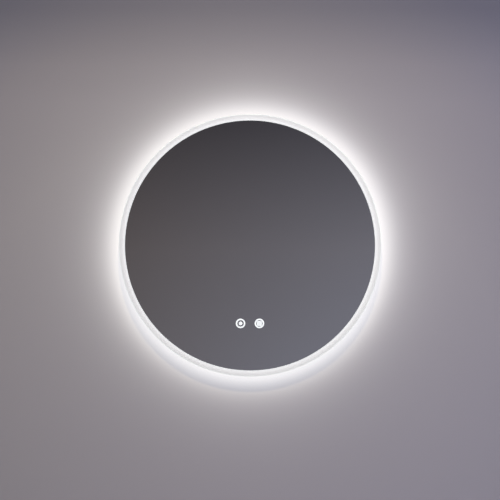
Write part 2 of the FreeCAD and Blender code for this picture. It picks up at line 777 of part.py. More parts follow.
def grommets():
    # The supply cable's grommet grips the lid with its two lips.
    body = sub_part("grommets")
    lip = disc("-grommet_across", "cord_up", "neck_radius + grommet_lip")
    neck = disc("-grommet_across", "cord_up", "neck_radius")
    raise_from(body, "lid_back - grommet_thick", "grommet_thick", lip)
    raise_from(body, "lid_back", "lid_thick", neck)
    raise_from(body, "box_back", "grommet_thick", lip)
    sink_from(
        body, "box_back + grommet_thick", None, disc("-grommet_across", "cord_up", "bore_radius"),
    )
    # A short sleeve takes the lamp lead through the frame's web.
    pad = body.newObject("PartDesign::Pad", "sleeve")
    outer = box(
        "0", "-lead_middle", "lead_width + 2 * sleeve_wall", "lead_thick + 2 * sleeve_wall",
    )
    inner = box("0", "-lead_middle", "lead_width + 2 * hole_gap", "lead_thick + 2 * hole_gap")
    pad.Profile = sketch_on(body, "XY_Plane", "-frame_radius", [outer, inner])
    pad.setExpression("Length", formula("2 * frame_wall"))


def cord_clamp():
    # The bar's upper end tucks under the box's ledge and its lower end is screwed down.
    spot = clamp_spots()[0]
    bar = sub_part("cord_clamp")
    raise_from(
        bar, "clamp_back", "clamp_thick", box("-clamp_across", "cord_up", "clamp_width", "clamp_height"),
    )
    sink_from(bar, "post_back", None, disc(*spot, "lid_screw + hole_gap"))

    screw = sub_part("clamp_screw")
    raise_from(screw, "clamp_back - head_height", "head_height", hexagon(*spot, "lid_screw_flats"))
    raise_from(screw, "clamp_back", "lid_screw_reach", disc(*spot, "lid_screw"))


def terminal_block():
    poles = ["block_across - pole_pitch", "block_across", "block_across + pole_pitch"]
    levels = ["block_up - release_pitch / 2", "block_up + release_pitch / 2"]
    body = sub_part("terminal_body")
    raise_from(
        body, "block_back", "block_depth", box("block_across", "block_up", "block_width", "block_height"),
    )
    slots = [box(x, z, "release_width", "release_height") for x in poles for z in levels]
    sink_from(body, "cage_back", None, *slots)
    ways = [box(x, "-lead_middle", "cage_size + 2 * hole_gap", "cage_size + 2 * hole_gap") for x in poles]
    sink_down(body, "block_up + block_height", "2 * block_height", *ways)

    cages = sub_part("terminal_cages")
    pad = cages.newObject("PartDesign::Pad", "cages")
    bars = [box(x, "-lead_middle", "cage_size", "cage_size") for x in poles]
    pad.Profile = sketch_on(cages, "XY_Plane", "block_foot", bars)
    pad.setExpression("Length", formula("block_height"))


def earth_point():
    # A blade that stands on the pan, and the receptacle pushed onto it.
    tab = sub_part("earth_tab")
    foot = box("earth_across", "-earth_below", "tab_foot", "tab_foot")
    raise_from(tab, "pan_front", "tab_thick", foot)
    blade = box("earth_across", "-earth_below", "tab_thick", "tab_width")
    raise_from(tab, "pan_front", "lead_level + lead_thick", blade)
    socket = sub_part("earth_receptacle")
    raise_from(
        socket, "lead_back + lead_thick - socket_reach", "socket_reach",
        box("earth_across", "-earth_below", "socket_thick", "socket_width"),
        box("earth_across", "-earth_below", "tab_thick + 2 * hole_gap", "tab_width + 2 * hole_gap"),
    )


# ---- the driver -----------------------------------------------------------------------

def driver():
    outer = box("0", "-driver_below", "driver_width", "driver_height")
    inner_height = "driver_height - 2 * driver_wall"
    inner = box("0", "-driver_below", "driver_width - 2 * driver_wall", inner_height)
    pads = sub_part("driver_pads")
    raise_from(
        pads, "pan_front", "tape_thick",
        box("-pad_across", "-driver_below", "pad_width", inner_height),
        box("pad_across", "-driver_below", "pad_width", inner_height),
    )
    tray = sub_part("driver_base")
    raise_from(tray, "driver_back", "tray_front - driver_back", outer)
    sink_from(tray, "tray_front", "tray_front - driver_back - driver_wall", inner)
    raise_from(
        tray, "driver_back + driver_wall", "rib_height",
        box("-rib_across", "-driver_below", "rib_width", inner_height),
        box("rib_across", "-driver_below", "rib_width", inner_height),
    )
    cap = sub_part("driver_lid")
    raise_from(cap, "tray_front", "cap_deep", outer)
    sink_from(cap, "cap_front - driver_wall", None, inner)

    board = sub_part("driver_board")
    loose = "2 * driver_wall - 2 * seat_gap"
    raise_from(
        board, "board_back", "circuit_thick",
        box("0", "-driver_below", "driver_width - " + loose, "driver_height - " + loose),
    )
    coil = sub_part("driver_transformer")
    raise_from(
        coil, "board_front", "coil_front - board_front",
        box("coil_across", "-driver_below", "coil_width", "coil_height"),
    )
    can = sub_part("driver_capacitor")
    raise_from(
        can, "board_front", "coil_front - board_front",
        box("-film_can_across", "-driver_below", "film_can_width", "film_can_height"),
    )


# ---- touch keys and demister ----------------------------------------------------------

def touch_keys():
    keys = ["-icon_across", "icon_across"]
    housing = sub_part("touch_housing")
    inner = box("0", "-icon_below", "touch_width - 2 * touch_wall", "touch_height - 2 * touch_wall")
    outer = box("0", "-icon_below", "touch_width", "touch_height")
    raise_from(housing, "housing_back", "touch_deep", outer)
    sink_from(housing, "housing_front", "touch_deep - touch_wall", inner)

    gasket = sub_part("touch_gasket")
    raise_from(gasket, "housing_front", "gasket_thick", outer, inner)

    board = sub_part("touch_board")
    loose = "2 * touch_wall - 2 * seat_gap"
    raise_from(
        board, "key_board_back", "circuit_thick",
        box("0", "-icon_below", "touch_width - " + loose, "touch_height - " + loose),
    )

    wells = sub_part("touch_wells")
    tubes = [box(x, "-icon_below", "well_size", "well_size") for x in keys]
    tubes += [box(x, "-icon_below", "well_size - 2 * well_wall", "well_size - 2 * well_wall") for x in keys]
    raise_from(wells, "key_board_front", "window_back - key_board_front", *tubes)

    lamps = sub_part("touch_leds")
    raise_from(
        lamps, "key_board_front", "key_lamp_height",
        *[box(x, "-icon_below", "key_lamp", "key_lamp") for x in keys]
    )

    windows = sub_part("icon_diffusers")
    raise_from(
        windows, "window_back", "window_thick",
        *[box(x, "-icon_below", "window_size", "window_size") for x in keys]
    )


def meander():
    # The outline of one track that runs to and fro up the film: out along one side of its
    # centre line and back along the other.
    half = "track_width / 2"
    side = "film_width / 2 - film_margin - track_width / 2"
    low = "film_foot + film_tail"
    rise = "(film_height - film_tail - film_margin - track_width) / (track_runs - 1)"
    runs = int(number("track_runs"))
    out, back = [], []
    for run in range(runs):
        level = "%s + %s + %d * %s" % (low, half, run, rise)
        rightward = run % 2 == 0
        above, below = ("+", "-") if rightward else ("-", "+")
        ends = ["-(%s)" % side, side] if rightward else [side, "-(%s)" % side]
        for place, spot in enumerate(ends):
            is_end = (run, place) in ((0, 0), (runs - 1, 1))
            shift = "0" if is_end else half
            out.append(("%s - %s" % (spot, shift), "%s %s %s" % (level, above, half)))
            back.append(("%s + %s" % (spot, shift), "%s %s %s" % (level, below, half)))
    return polygon(*(out + back[::-1]))


def demister():
    film = sub_part("demister_film")
    raise_from(film, "film_back", "film_thick", box("0", "film_up", "film_width", "film_height"))
    track = sub_part("demister_track")
    raise_from(track, "film_back - track_thick", "track_thick", meander())
    joint = sub_part("demister_connector")
    raise_from(
        joint, "lead_back - seat_gap", "film_back - lead_back + seat_gap",
        box("-joint_across", "joint_up", "joint_width", "joint_height"),
    )


# ---- inner leads ----------------------------------------------------------------------

def lead(label, width, *stops):
    # A flat lead on one level: straight runs joined by arcs as large as the runs allow.
    depth = number("lead_middle")
    points = [FreeCAD.Vector(number(x), -depth, number(z)) for x, z in stops]
    edges = []
    start = points[0]
    length = 0
    for before, corner, after in zip(points, points[1:], points[2:]):
        way_in = (corner - before).normalize()
        way_out = (after - corner).normalize()
        half_turn = way_in.getAngle(way_out) / 2
        tangent = 0.45 * min((corner - before).Length, (after - corner).Length)
        radius = tangent / math.tan(half_turn)
        first = corner - way_in * tangent
        last = corner + way_out * tangent
        sag = radius / math.cos(half_turn) - radius
        middle = corner + (way_out - way_in).normalize() * sag
        edges.append(Part.LineSegment(start, first).toShape())
        edges.append(Part.Arc(first, middle, last).toShape())
        length += (first - start).Length + radius * 2 * half_turn
        start = last
    edges.append(Part.LineSegment(start, points[-1]).toShape())
    length += (points[-1] - start).Length
    heading = (points[1] - points[0]).normalize()
    aside = heading.cross(FreeCAD.Vector(0, 1, 0)) * (number(width) / 2)
    rise = FreeCAD.Vector(0, number("lead_thick") / 2, 0)
    corners = [points[0] + s * aside + t * rise for s, t in ((-1, -1), (1, -1), (1, 1), (-1, 1))]
    section = Part.makePolygon(corners + corners[:1])
    solid = Part.Wire(edges).makePipeShell([section], True, False)
    expected = length * number(width) * number("lead_thick")
    if abs(solid.Volume / expected - 1) > 0.02:
        raise RuntimeError("%s: the swept volume is off" % label)
    piece = doc.addObject("Part::Feature", label)
    piece.Label = label
    piece.Shape = solid
    piece.setExpression("Placement.Base.z", formula("-axis_drop"))
    parts.append(piece)


def inner_leads():
    end = "driver_width / 2"
    mains = "(block_across - pole_pitch / 2)"
    lead(
        "lead_mains", "lead_width", (mains, "block_foot"), (mains, "lane_up"),
        ("side_across", "lane_up"), ("side_across", "-driver_below"), (end, "-driver_below"),
    )
    earth = "(block_across + pole_pitch)"
    lead(
        "lead_earth", "core_width", (earth, "block_foot"), (earth, "-earth_below"),
        ("earth_across - socket_thick / 2", "-earth_below"),
    )
    lead(
        "lead_lamps", "lead_width", ("-" + end, "-lamp_out"), ("-side_across", "-lamp_out"),
        ("-side_across", "-lamp_level"), ("0", "-lamp_level"), ("0", "-frame_radius"),
    )
    lead(
        "lead_touch", "lead_width", ("-touch_exit", "-driver_foot"),
        ("-touch_exit", "touch_height / 2 - icon_below"),
    )
    lead(
        "lead_demister", "lead_width", ("-" + end, "demist_up"), ("-joint_across", "demist_up"),
        ("-joint_across", "joint_up + joint_height / 2"),
    )
    # Each clip is a post with an open slot that the lead lies in.
    clips = sub_part("lead_clips")
    tall = "lead_level + lead_thick + clip_rise"
    level_runs = [("58", "lane_up"), ("-40", "-lamp_level")]
    upright_runs = [("-side_across", "-lamp_out - 66")]
    spots = level_runs + upright_runs
    raise_from(clips, "pan_front", tall, *[box(x, z, "clip_size", "clip_size") for x, z in spots])
    groove = "lead_width + 2 * fit_gap"
    long = "2 * clip_size"
    cuts = [box(x, z, long, groove) for x, z in level_runs]
    cuts += [box(x, z, groove, long) for x, z in upright_runs]
    sink_from(clips, "pan_front + " + tall, "lead_thick + clip_rise", *cuts)


wall_rail()
hanger_rail()
pane()
light_frame()
lamp_strip()
opal_ring()
back_pan()
wiring_box()
box_lid()
grommets()
cord_clamp()
terminal_block()
earth_point()
driver()
touch_keys()
demister()
inner_leads()
doc.recompute()

for item in doc.Objects:
    if "Invalid" in item.State or "Error" in item.State:
        raise RuntimeError("%s failed: %s" % (item.Label, item.State))
for part in parts:
    if part.Shape.isNull() or not part.Shape.isValid() or not part.Shape.Solids:
        raise RuntimeError("%s has no valid solid" % part.Label)

os.makedirs("parts", exist_ok=True)
for part in parts:
    part.Shape.exportStep(os.path.join("parts", part.Label + ".step"))
    print("%-20s %3d solids" % (part.Label, len(part.Shape.Solids)))
print("%d parts" % len(parts))
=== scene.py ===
import math

import bmesh
import bpy
from mathutils import Matrix, Vector


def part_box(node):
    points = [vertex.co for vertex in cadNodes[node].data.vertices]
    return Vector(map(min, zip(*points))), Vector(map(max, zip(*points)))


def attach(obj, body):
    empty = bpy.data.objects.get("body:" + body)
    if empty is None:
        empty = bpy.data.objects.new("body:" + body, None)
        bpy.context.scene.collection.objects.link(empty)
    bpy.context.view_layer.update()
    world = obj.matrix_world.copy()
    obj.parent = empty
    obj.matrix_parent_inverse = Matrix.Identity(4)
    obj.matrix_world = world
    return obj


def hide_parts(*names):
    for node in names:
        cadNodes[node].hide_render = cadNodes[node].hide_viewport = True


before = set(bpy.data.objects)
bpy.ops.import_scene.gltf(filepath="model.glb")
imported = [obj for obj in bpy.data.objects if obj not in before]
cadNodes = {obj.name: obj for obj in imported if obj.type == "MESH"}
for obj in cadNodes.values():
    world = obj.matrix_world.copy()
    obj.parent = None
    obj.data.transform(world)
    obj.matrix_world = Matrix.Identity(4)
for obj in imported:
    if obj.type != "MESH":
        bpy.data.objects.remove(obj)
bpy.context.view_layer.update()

paneLow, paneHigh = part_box("mirror_glass")
opalLow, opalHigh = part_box("opal_diffuser")
coatLow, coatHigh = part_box("silver_coat")
mirrorAxis = Vector((0, 0, (paneLow.z + paneHigh.z) / 2))  # the pane's middle, on the wall
paneRadius = paneHigh.x
coatRadius = coatHigh.x
opalRadius = opalHigh.x

print("frame loaded, the pane measures %.3f m across" % (2 * paneRadius))


def tone(red, green, blue):
    # A colour as it shows on screen, 0 to 255, turned into the linear value that shaders take.
    linear = []
    for level in (red, green, blue):
        part = level / 255
        linear.append(part / 12.92 if part <= 0.04045 else ((part + 0.055) / 1.055) ** 2.4)
    return (*linear, 1)


# The camera stands square on, a little below the mirror's middle.
cameraValues = {"lens": 85, "sensor": 36, "distance": 2.70, "below": 0.0104}


def placeCamera(values):
    data = bpy.data.cameras.new("camera")
    data.lens = values["lens"]
    data.sensor_width = values["sensor"]
    camera = bpy.data.objects.new("camera", data)
    camera.location = (0, paneLow.y - values["distance"], mirrorAxis.z - values["below"])
    camera.rotation_euler = (math.radians(90), 0, 0)
    bpy.context.scene.collection.objects.link(camera)
    bpy.context.scene.camera = camera


placeCamera(cameraValues)
bpy.context.scene.view_settings.view_transform = "Standard"


# Small helpers for node materials.
def addNode(tree, kind, inputs=None, **settings):
    node = tree.nodes.new(kind)
    for name, value in settings.items():
        setattr(node, name, value)
    for name, value in (inputs or {}).items():
        node.inputs[name].default_value = value
    return node


def newMaterial(name, inputs):
    # What is the same all over the surface is set on the shader itself.
    material = bpy.data.materials.new(name)
    material.use_nodes = True
    shader = material.node_tree.nodes["Principled BSDF"]
    for socket, value in inputs.items():
        shader.inputs[socket].default_value = value
    return material, material.node_tree, shader


def objectPlace(tree, stretch=(1, 1, 1), turn=(0, 0, 0)):
    place = addNode(tree, "ShaderNodeTexCoord")
    mapping = addNode(tree, "ShaderNodeMapping", {"Scale": stretch, "Rotation": turn})
    tree.links.new(place.outputs["Object"], mapping.inputs["Vector"])
    return mapping.outputs["Vector"]


def cloud(tree, size, stretch=(1, 1, 1), detail=3, roughness=0.5):
    # Soft noise whose features are about this size, in metres.
    noise = addNode(
        tree, "ShaderNodeTexNoise", {"Scale": 1 / size, "Detail": detail, "Roughness": roughness},
    )
    tree.links.new(objectPlace(tree, stretch), noise.inputs["Vector"])
    return noise.outputs["Fac"]


def cells(tree, size, stretch=(1, 1, 1)):
    pattern = addNode(tree, "ShaderNodeTexVoronoi", {"Scale": 1 / size})
    tree.links.new(objectPlace(tree, stretch), pattern.inputs["Vector"])
    return pattern


def between(tree, source, low, high, start=0.3, end=0.7):
    span = addNode(
        tree, "ShaderNodeMapRange",
        {"From Min": start, "From Max": end, "To Min": low, "To Max": high},
    )
    tree.links.new(source, span.inputs["Value"])
    return span.outputs["Result"]


def colourRamp(tree, source, stops):
    ramp = addNode(tree, "ShaderNodeValToRGB")
    elements = ramp.color_ramp.elements
    while len(elements) < len(stops):
        elements.new(0.5)
    for element, (place, colour) in zip(elements, stops):
        element.position = place
        element.color = colour
    tree.links.new(source, ramp.inputs["Fac"])
    return ramp.outputs["Color"]


def addBump(tree, shader, source, strength, distance):
    bump = addNode(tree, "ShaderNodeBump", {"Strength": strength, "Distance": distance})
    tree.links.new(source, bump.inputs["Height"])
    tree.links.new(bump.outputs["Normal"], shader.inputs["Normal"])


def axisDistance(tree):
    # How far a point lies from the mirror's axis, in metres.
    place = addNode(tree, "ShaderNodeTexCoord")
    shift = addNode(tree, "ShaderNodeVectorMath", {1: mirrorAxis}, operation="SUBTRACT")
    flat = addNode(tree, "ShaderNodeVectorMath", {1: (1, 0, 1)}, operation="MULTIPLY")
    length = addNode(tree, "ShaderNodeVectorMath", operation="LENGTH")
    tree.links.new(place.outputs["Object"], shift.inputs[0])
    tree.links.new(shift.outputs["Vector"], flat.inputs[0])
    tree.links.new(flat.outputs["Vector"], length.inputs[0])
    return length.outputs["Value"]


# Finishes, one function each.
def paneGlass():
    material, tree, shader = newMaterial("paneGlass", {
        "Base Color": (0.985, 0.996, 0.992, 1), "Transmission Weight": 1, "IOR": 1.52,
    })
    haze = cloud(tree, 0.14, detail=2)  # faint wiping marks
    tree.links.new(between(tree, haze, 0.0, 0.012, 0.5, 0.8), shader.inputs["Roughness"])
    volume = addNode(
        tree, "ShaderNodeVolumeAbsorption", {"Color": (0.45, 0.93, 0.78, 1), "Density": 6},
    )
    tree.links.new(volume.outputs["Volume"], tree.nodes["Material Output"].inputs["Volume"])
    return material


def groundRim():
    # The satin ground edge gives off some of the light that travels through the glass.
    material, tree, shader = newMaterial("groundRim", {
        "Emission Color": (0.96, 1.0, 0.985, 1), "Specular IOR Level": 0.6,
    })
    grain = cloud(tree, 0.0011, detail=2)
    tree.links.new(
        colourRamp(tree, grain, [(0.3, tone(202, 211, 208)), (0.7, tone(218, 226, 223))]),
        shader.inputs["Base Color"],
    )
    tree.links.new(between(tree, grain, 0.36, 0.48), shader.inputs["Roughness"])
    tree.links.new(between(tree, grain, 0.27, 0.34), shader.inputs["Emission Strength"])
    addBump(tree, shader, grain, 0.2, 0.00004)
    return material


def silvering():
    # Silver as seen through the pane, grey backing paint on the wall side.
    material, tree, shader = newMaterial("silvering", {"Roughness": 0.02})
    place = addNode(tree, "ShaderNodeTexCoord")
    split = addNode(tree, "ShaderNodeSeparateXYZ")
    front = addNode(tree, "ShaderNodeMath", {1: -0.5}, operation="LESS_THAN")
    tree.links.new(place.outputs["Normal"], split.inputs["Vector"])
    tree.links.new(split.outputs["Y"], front.inputs[0])
    paint = colourRamp(tree, cloud(tree, 0.02), [
        (0.3, tone(112, 116, 118)), (0.7, tone(124, 127, 129)),
    ])
    silver = colourRamp(tree, cloud(tree, 0.2), [
        (0.3, (0.900, 0.905, 0.915, 1)), (0.7, (0.915, 0.915, 0.920, 1)),
    ])
    side = addNode(tree, "ShaderNodeMix", data_type="RGBA")
    tree.links.new(front.outputs[0], side.inputs["Factor"])
    tree.links.new(paint, side.inputs["A"])
    tree.links.new(silver, side.inputs["B"])
    tree.links.new(side.outputs["Result"], shader.inputs["Base Color"])
    tree.links.new(front.outputs[0], shader.inputs["Metallic"])
    tree.links.new(between(tree, front.outputs[0], 0.55, 0.0, 0, 1), shader.inputs["Roughness"])
    return material


opalValues = {"sideGlow": 0.42, "ripple": 0.04, "lamps": 62}


def opalPlastic(values):
    # Lit from inside: a little brighter in front of each lamp than between two.
    material, tree, shader = newMaterial("opalPlastic", {
        "Roughness": 0.42, "Subsurface Weight": 0.15, "Subsurface Radius": (0.004, 0.004, 0.004),
        "Emission Color": tone(250, 251, 255),
    })
    shade = cloud(tree, 0.03)
    tree.links.new(
        colourRamp(tree, shade, [(0.3, tone(238, 240, 240)), (0.7, tone(244, 245, 245))]),
        shader.inputs["Base Color"],
    )
    place = addNode(tree, "ShaderNodeTexCoord")
    shift = addNode(tree, "ShaderNodeVectorMath", {1: mirrorAxis}, operation="SUBTRACT")
    split = addNode(tree, "ShaderNodeSeparateXYZ")
    angle = addNode(tree, "ShaderNodeMath", operation="ARCTAN2")
    turns = addNode(tree, "ShaderNodeMath", {1: values["lamps"]}, operation="MULTIPLY")
    wave = addNode(tree, "ShaderNodeMath", operation="COSINE")
    tree.links.new(place.outputs["Object"], shift.inputs[0])
    tree.links.new(shift.outputs["Vector"], split.inputs["Vector"])
    tree.links.new(split.outputs["Z"], angle.inputs[0])
    tree.links.new(split.outputs["X"], angle.inputs[1])
    tree.links.new(angle.outputs[0], turns.inputs[0])
    tree.links.new(turns.outputs[0], wave.inputs[0])
    level = between(
        tree, wave.outputs[0], values["sideGlow"] - values["ripple"],
        values["sideGlow"] + values["ripple"], -1, 1,
    )
    tree.links.new(level, shader.inputs["Emission Strength"])
    addBump(tree, shader, cloud(tree, 0.0012), 0.15, 0.0001)
    return material


bandValues = {
    "inner": (0.835, 0.795, 0.820, 1), "middle": (0.694, 0.646, 0.666, 1),
    "outer": (0.546, 0.499, 0.515, 1), "slope": (0.10, 0, 0.19),
}


def frostedBand(values):
    # The sandblasted back of the clear band glows most beside the silvering.
    material, tree, shader = newMaterial("frostedBand", {"Roughness": 0.7})
    reach = between(tree, axisDistance(tree), 0, 1, coatRadius, paneRadius)
    glow = colourRamp(tree, reach, [
        (0.08, values["inner"]), (0.45, values["middle"]), (0.85, values["outer"]),
    ])
    tree.links.new(glow, shader.inputs["Emission Color"])
    grain = cloud(tree, 0.0009, detail=2)
    # Painted light: the glow is a little brighter towards the top right.
    place = addNode(tree, "ShaderNodeTexCoord")
    slope = addNode(tree, "ShaderNodeVectorMath", {1: values["slope"]}, operation="DOT_PRODUCT")
    level = addNode(tree, "ShaderNodeMath", operation="ADD")
    tree.links.new(place.outputs["Object"], slope.inputs[0])
    tree.links.new(slope.outputs["Value"], level.inputs[0])
    tree.links.new(between(tree, grain, 1.06, 1.10), level.inputs[1])
    tree.links.new(level.outputs[0], shader.inputs["Emission Strength"])
    tree.links.new(
        colourRamp(tree, grain, [(0.3, tone(228, 233, 231)), (0.7, tone(240, 243, 242))]),
        shader.inputs["Base Color"],
    )
    addBump(tree, shader, grain, 0.3, 0.00005)
    return material


def signGlow():
    material, tree, shader = newMaterial("signGlow", {
        "Base Color": tone(240, 240, 244), "Roughness": 0.5,
    })
    shade = cloud(tree, 0.006)
    tree.links.new(
        colourRamp(tree, shade, [(0.3, tone(246, 246, 252)), (0.7, tone(255, 255, 255))]),
        shader.inputs["Emission Color"],
    )
    tree.links.new(between(tree, shade, 0.98, 1.06), shader.inputs["Emission Strength"])
    return material


def powderCoat(name, dark, light):
    # Fine orange-peel texture of baked powder paint.
    material, tree, shader = newMaterial(name, {"Coat Weight": 0.15, "Coat Roughness": 0.3})
    tree.links.new(
        colourRamp(tree, cloud(tree, 0.12), [(0.3, dark), (0.7, light)]),
        shader.inputs["Base Color"],
    )
    peel = cloud(tree, 0.0016, detail=2)
    tree.links.new(between(tree, peel, 0.42, 0.56), shader.inputs["Roughness"])
    addBump(tree, shader, peel, 0.35, 0.00012)
    return material


def zincSteel(name, dark, light, grain=0.006):
    # Zinc plate: a soft spangle over faintly drawn steel.
    material, tree, shader = newMaterial(name, {"Metallic": 1})
    spangle = cells(tree, grain)
    drawn = cloud(tree, 0.0011, (0.15, 1, 1), detail=3)
    worn = addNode(tree, "ShaderNodeMath", {1: 0.45}, operation="MULTIPLY_ADD")
    tree.links.new(spangle.outputs["Distance"], worn.inputs[0])
    tree.links.new(drawn, worn.inputs[2])
    tree.links.new(
        colourRamp(tree, worn.outputs[0], [(0.3, dark), (1.0, light)]),
        shader.inputs["Base Color"],
    )
    tree.links.new(between(tree, worn.outputs[0], 0.34, 0.46), shader.inputs["Roughness"])
    addBump(tree, shader, drawn, 0.06, 0.00005)
    return material


def blackRubber():
    material, tree, shader = newMaterial("blackRubber", {"Sheen Weight": 0.08})
    dust = cloud(tree, 0.004)
    tree.links.new(
        colourRamp(tree, dust, [(0.3, tone(27, 27, 28)), (0.75, tone(44, 44, 45))]),
        shader.inputs["Base Color"],
    )
    tree.links.new(between(tree, dust, 0.62, 0.82), shader.inputs["Roughness"])
    addBump(tree, shader, cloud(tree, 0.0006), 0.3, 0.00005)
    return material


def mouldedPlastic(name, dark, light, rough=0.5):
    # Spark-eroded mould texture.
    material, tree, shader = newMaterial(name, {"Specular IOR Level": 0.45})
    grain = cloud(tree, 0.0007, detail=2)
    tree.links.new(
        colourRamp(tree, cloud(tree, 0.03), [(0.3, dark), (0.7, light)]),
        shader.inputs["Base Color"],
    )
    tree.links.new(between(tree, grain, rough - 0.06, rough + 0.06), shader.inputs["Roughness"])
    addBump(tree, shader, grain, 0.3, 0.00006)
    return material


def rolledAluminium():
    material, tree, shader = newMaterial("rolledAluminium", {"Metallic": 1})
    lines = cloud(tree, 0.0012, (1, 0.04, 1), detail=4)
    tree.links.new(
        colourRamp(tree, lines, [(0.3, tone(196, 197, 199)), (0.7, tone(218, 219, 221))]),
        shader.inputs["Base Color"],
    )
    tree.links.new(between(tree, lines, 0.26, 0.42), shader.inputs["Roughness"])
    addBump(tree, shader, lines, 0.1, 0.00004)
    return material


def closedFoam():
    material, tree, shader = newMaterial("closedFoam", {"Sheen Weight": 0.2})
    bubble = cells(tree, 0.0009)
    tree.links.new(
        colourRamp(tree, bubble.outputs["Distance"], [(0.1, tone(48, 48, 50)), (0.7, tone(30, 30, 31))]),
        shader.inputs["Base Color"],
    )
    tree.links.new(
        between(tree, bubble.outputs["Distance"], 0.95, 0.8), shader.inputs["Roughness"],
    )
    addBump(tree, shader, bubble.outputs["Distance"], 0.6, 0.0002)
    return material


def brushedBrass():
    material, tree, shader = newMaterial("brushedBrass", {"Metallic": 1})
    lines = cloud(tree, 0.001, (0.1, 1, 1))
    tree.links.new(
        colourRamp(tree, lines, [(0.3, tone(196, 168, 104)), (0.7, tone(224, 200, 138))]),
        shader.inputs["Base Color"],
    )
    tree.links.new(between(tree, lines, 0.22, 0.38), shader.inputs["Roughness"])
    return material


def circuitBoard(name, mask, copper, pitch):
    # Solder mask with faint lines of the copper below it.
    material, tree, shader = newMaterial(name, {"Coat Weight": 0.3, "Coat Roughness": 0.15})
    lines = addNode(
        tree, "ShaderNodeTexBrick",
        {"Scale": 1 / pitch, "Mortar Size": 0.08, "Color1": mask, "Color2": mask, "Mortar": copper},
    )
    tree.links.new(
        objectPlace(tree, turn=(math.radians(90), 0, 0)), lines.inputs["Vector"],
    )
    tree.links.new(lines.outputs["Color"], shader.inputs["Base Color"])
    tree.links.new(between(tree, cloud(tree, 0.003), 0.25, 0.4), shader.inputs["Roughness"])
    addBump(tree, shader, lines.outputs["Fac"], 0.2, 0.00005)
    return material


def lampPhosphor():
    material, tree, shader = newMaterial("lampPhosphor", {"Roughness": 0.35})
    shade = cloud(tree, 0.001)
    tree.links.new(
        colourRamp(tree, shade, [(0.3, tone(250, 236, 176)), (0.7, tone(255, 246, 205))]),
        shader.inputs["Base Color"],
    )
    tree.links.new(
        colourRamp(tree, shade, [(0.3, tone(240, 246, 255)), (0.7, tone(255, 255, 255))]),
        shader.inputs["Emission Color"],
    )
    tree.links.new(between(tree, shade, 0.9, 1.1), shader.inputs["Emission Strength"])
    return material


def wrappedTape():
    material, tree, shader = newMaterial("wrappedTape", {"Coat Weight": 0.2})
    turns = addNode(
        tree, "ShaderNodeTexWave", {"Scale": 90, "Distortion": 0.4}, bands_direction="X",
    )
    tree.links.new(objectPlace(tree), turns.inputs["Vector"])
    tree.links.new(
        colourRamp(tree, turns.outputs["Fac"], [(0.2, tone(206, 168, 40)), (0.8, tone(232, 200, 74))]),
        shader.inputs["Base Color"],
    )
    tree.links.new(between(tree, cloud(tree, 0.002), 0.3, 0.45), shader.inputs["Roughness"])
    addBump(tree, shader, turns.outputs["Fac"], 0.3, 0.0001)
    return material


def heaterFilm(name, dark, light, metal):
    material, tree, shader = newMaterial(name, {"Metallic": metal, "Coat Weight": 0.4})
    shade = cloud(tree, 0.05)
    tree.links.new(
        colourRamp(tree, shade, [(0.3, dark), (0.7, light)]), shader.inputs["Base Color"],
    )
    tree.links.new(between(tree, shade, 0.2, 0.35), shader.inputs["Roughness"])
    addBump(tree, shader, cloud(tree, 0.02), 0.2, 0.0002)
    return material


finishes = {
    "glass": paneGlass(),
    "rim": groundRim(),
    "silver": silvering(),
    "opal": opalPlastic(opalValues),
    "frost": frostedBand(bandValues),
    "sign": signGlow(),
    "pan": powderCoat("powderCoatWhite", tone(222, 224, 224), tone(230, 231, 231)),
    "weld": zincSteel("spotWeld", tone(140, 136, 130), tone(164, 160, 152), 0.002),
    "rail": zincSteel("zincRail", tone(172, 175, 179), tone(196, 198, 201)),
    "screw": zincSteel("zincScrew", tone(176, 175, 168), tone(208, 207, 200), 0.003),
    "rubber": blackRubber(),
    "box": mouldedPlastic("mouldedGrey", tone(212, 214, 216), tone(220, 222, 223)),
    "case": mouldedPlastic("driverCase", tone(226, 226, 223), tone(233, 233, 230), 0.42),
    "aluminium": rolledAluminium(),
    "foam": closedFoam(),
    "brass": brushedBrass(),
    "green": circuitBoard("circuitGreen", tone(24, 92, 54), tone(46, 122, 74), 0.004),
    "strip": circuitBoard("stripWhite", tone(240, 240, 236), tone(214, 208, 190), 0.009),
    "chip": lampPhosphor(),
    "tape": wrappedTape(),
    "can": mouldedPlastic("capacitorBody", tone(150, 40, 34), tone(168, 48, 40), 0.35),
    "film": heaterFilm("heaterFilm", tone(196, 138, 62), tone(212, 154, 74), 0),
    "track": heaterFilm("heaterTrack", tone(150, 148, 140), tone(176, 173, 164), 1),
    "sheath": mouldedPlastic("leadWhite", tone(226, 226, 221), tone(236, 236, 231), 0.45),
    "earthSheath": mouldedPlastic("leadEarth", tone(86, 150, 40), tone(112, 172, 52), 0.45),
}
print("finishes made: %d" % len(finishes))


# Helpers for meshes.
weldDistance = 2e-6  # corners of a CAD triangle mesh nearer than this are one corner


def finishObject(name, mesh, finish, angle=35):
    mesh.shade_smooth()
    mesh.set_sharp_from_angle(angle=math.radians(angle))
    piece = bpy.data.objects.new(name, mesh)
    mesh.materials.clear()
    mesh.materials.append(finishes[finish])
    bpy.context.scene.collection.objects.link(piece)
    shading = piece.modifiers.new("flat_faces", "WEIGHTED_NORMAL")
    shading.keep_sharp = True
    return piece


def meshFrom(shape, name):
    bmesh.ops.recalc_face_normals(shape, faces=shape.faces)
    mesh = bpy.data.meshes.new(name)
    shape.to_mesh(mesh)
    shape.free()
    return mesh


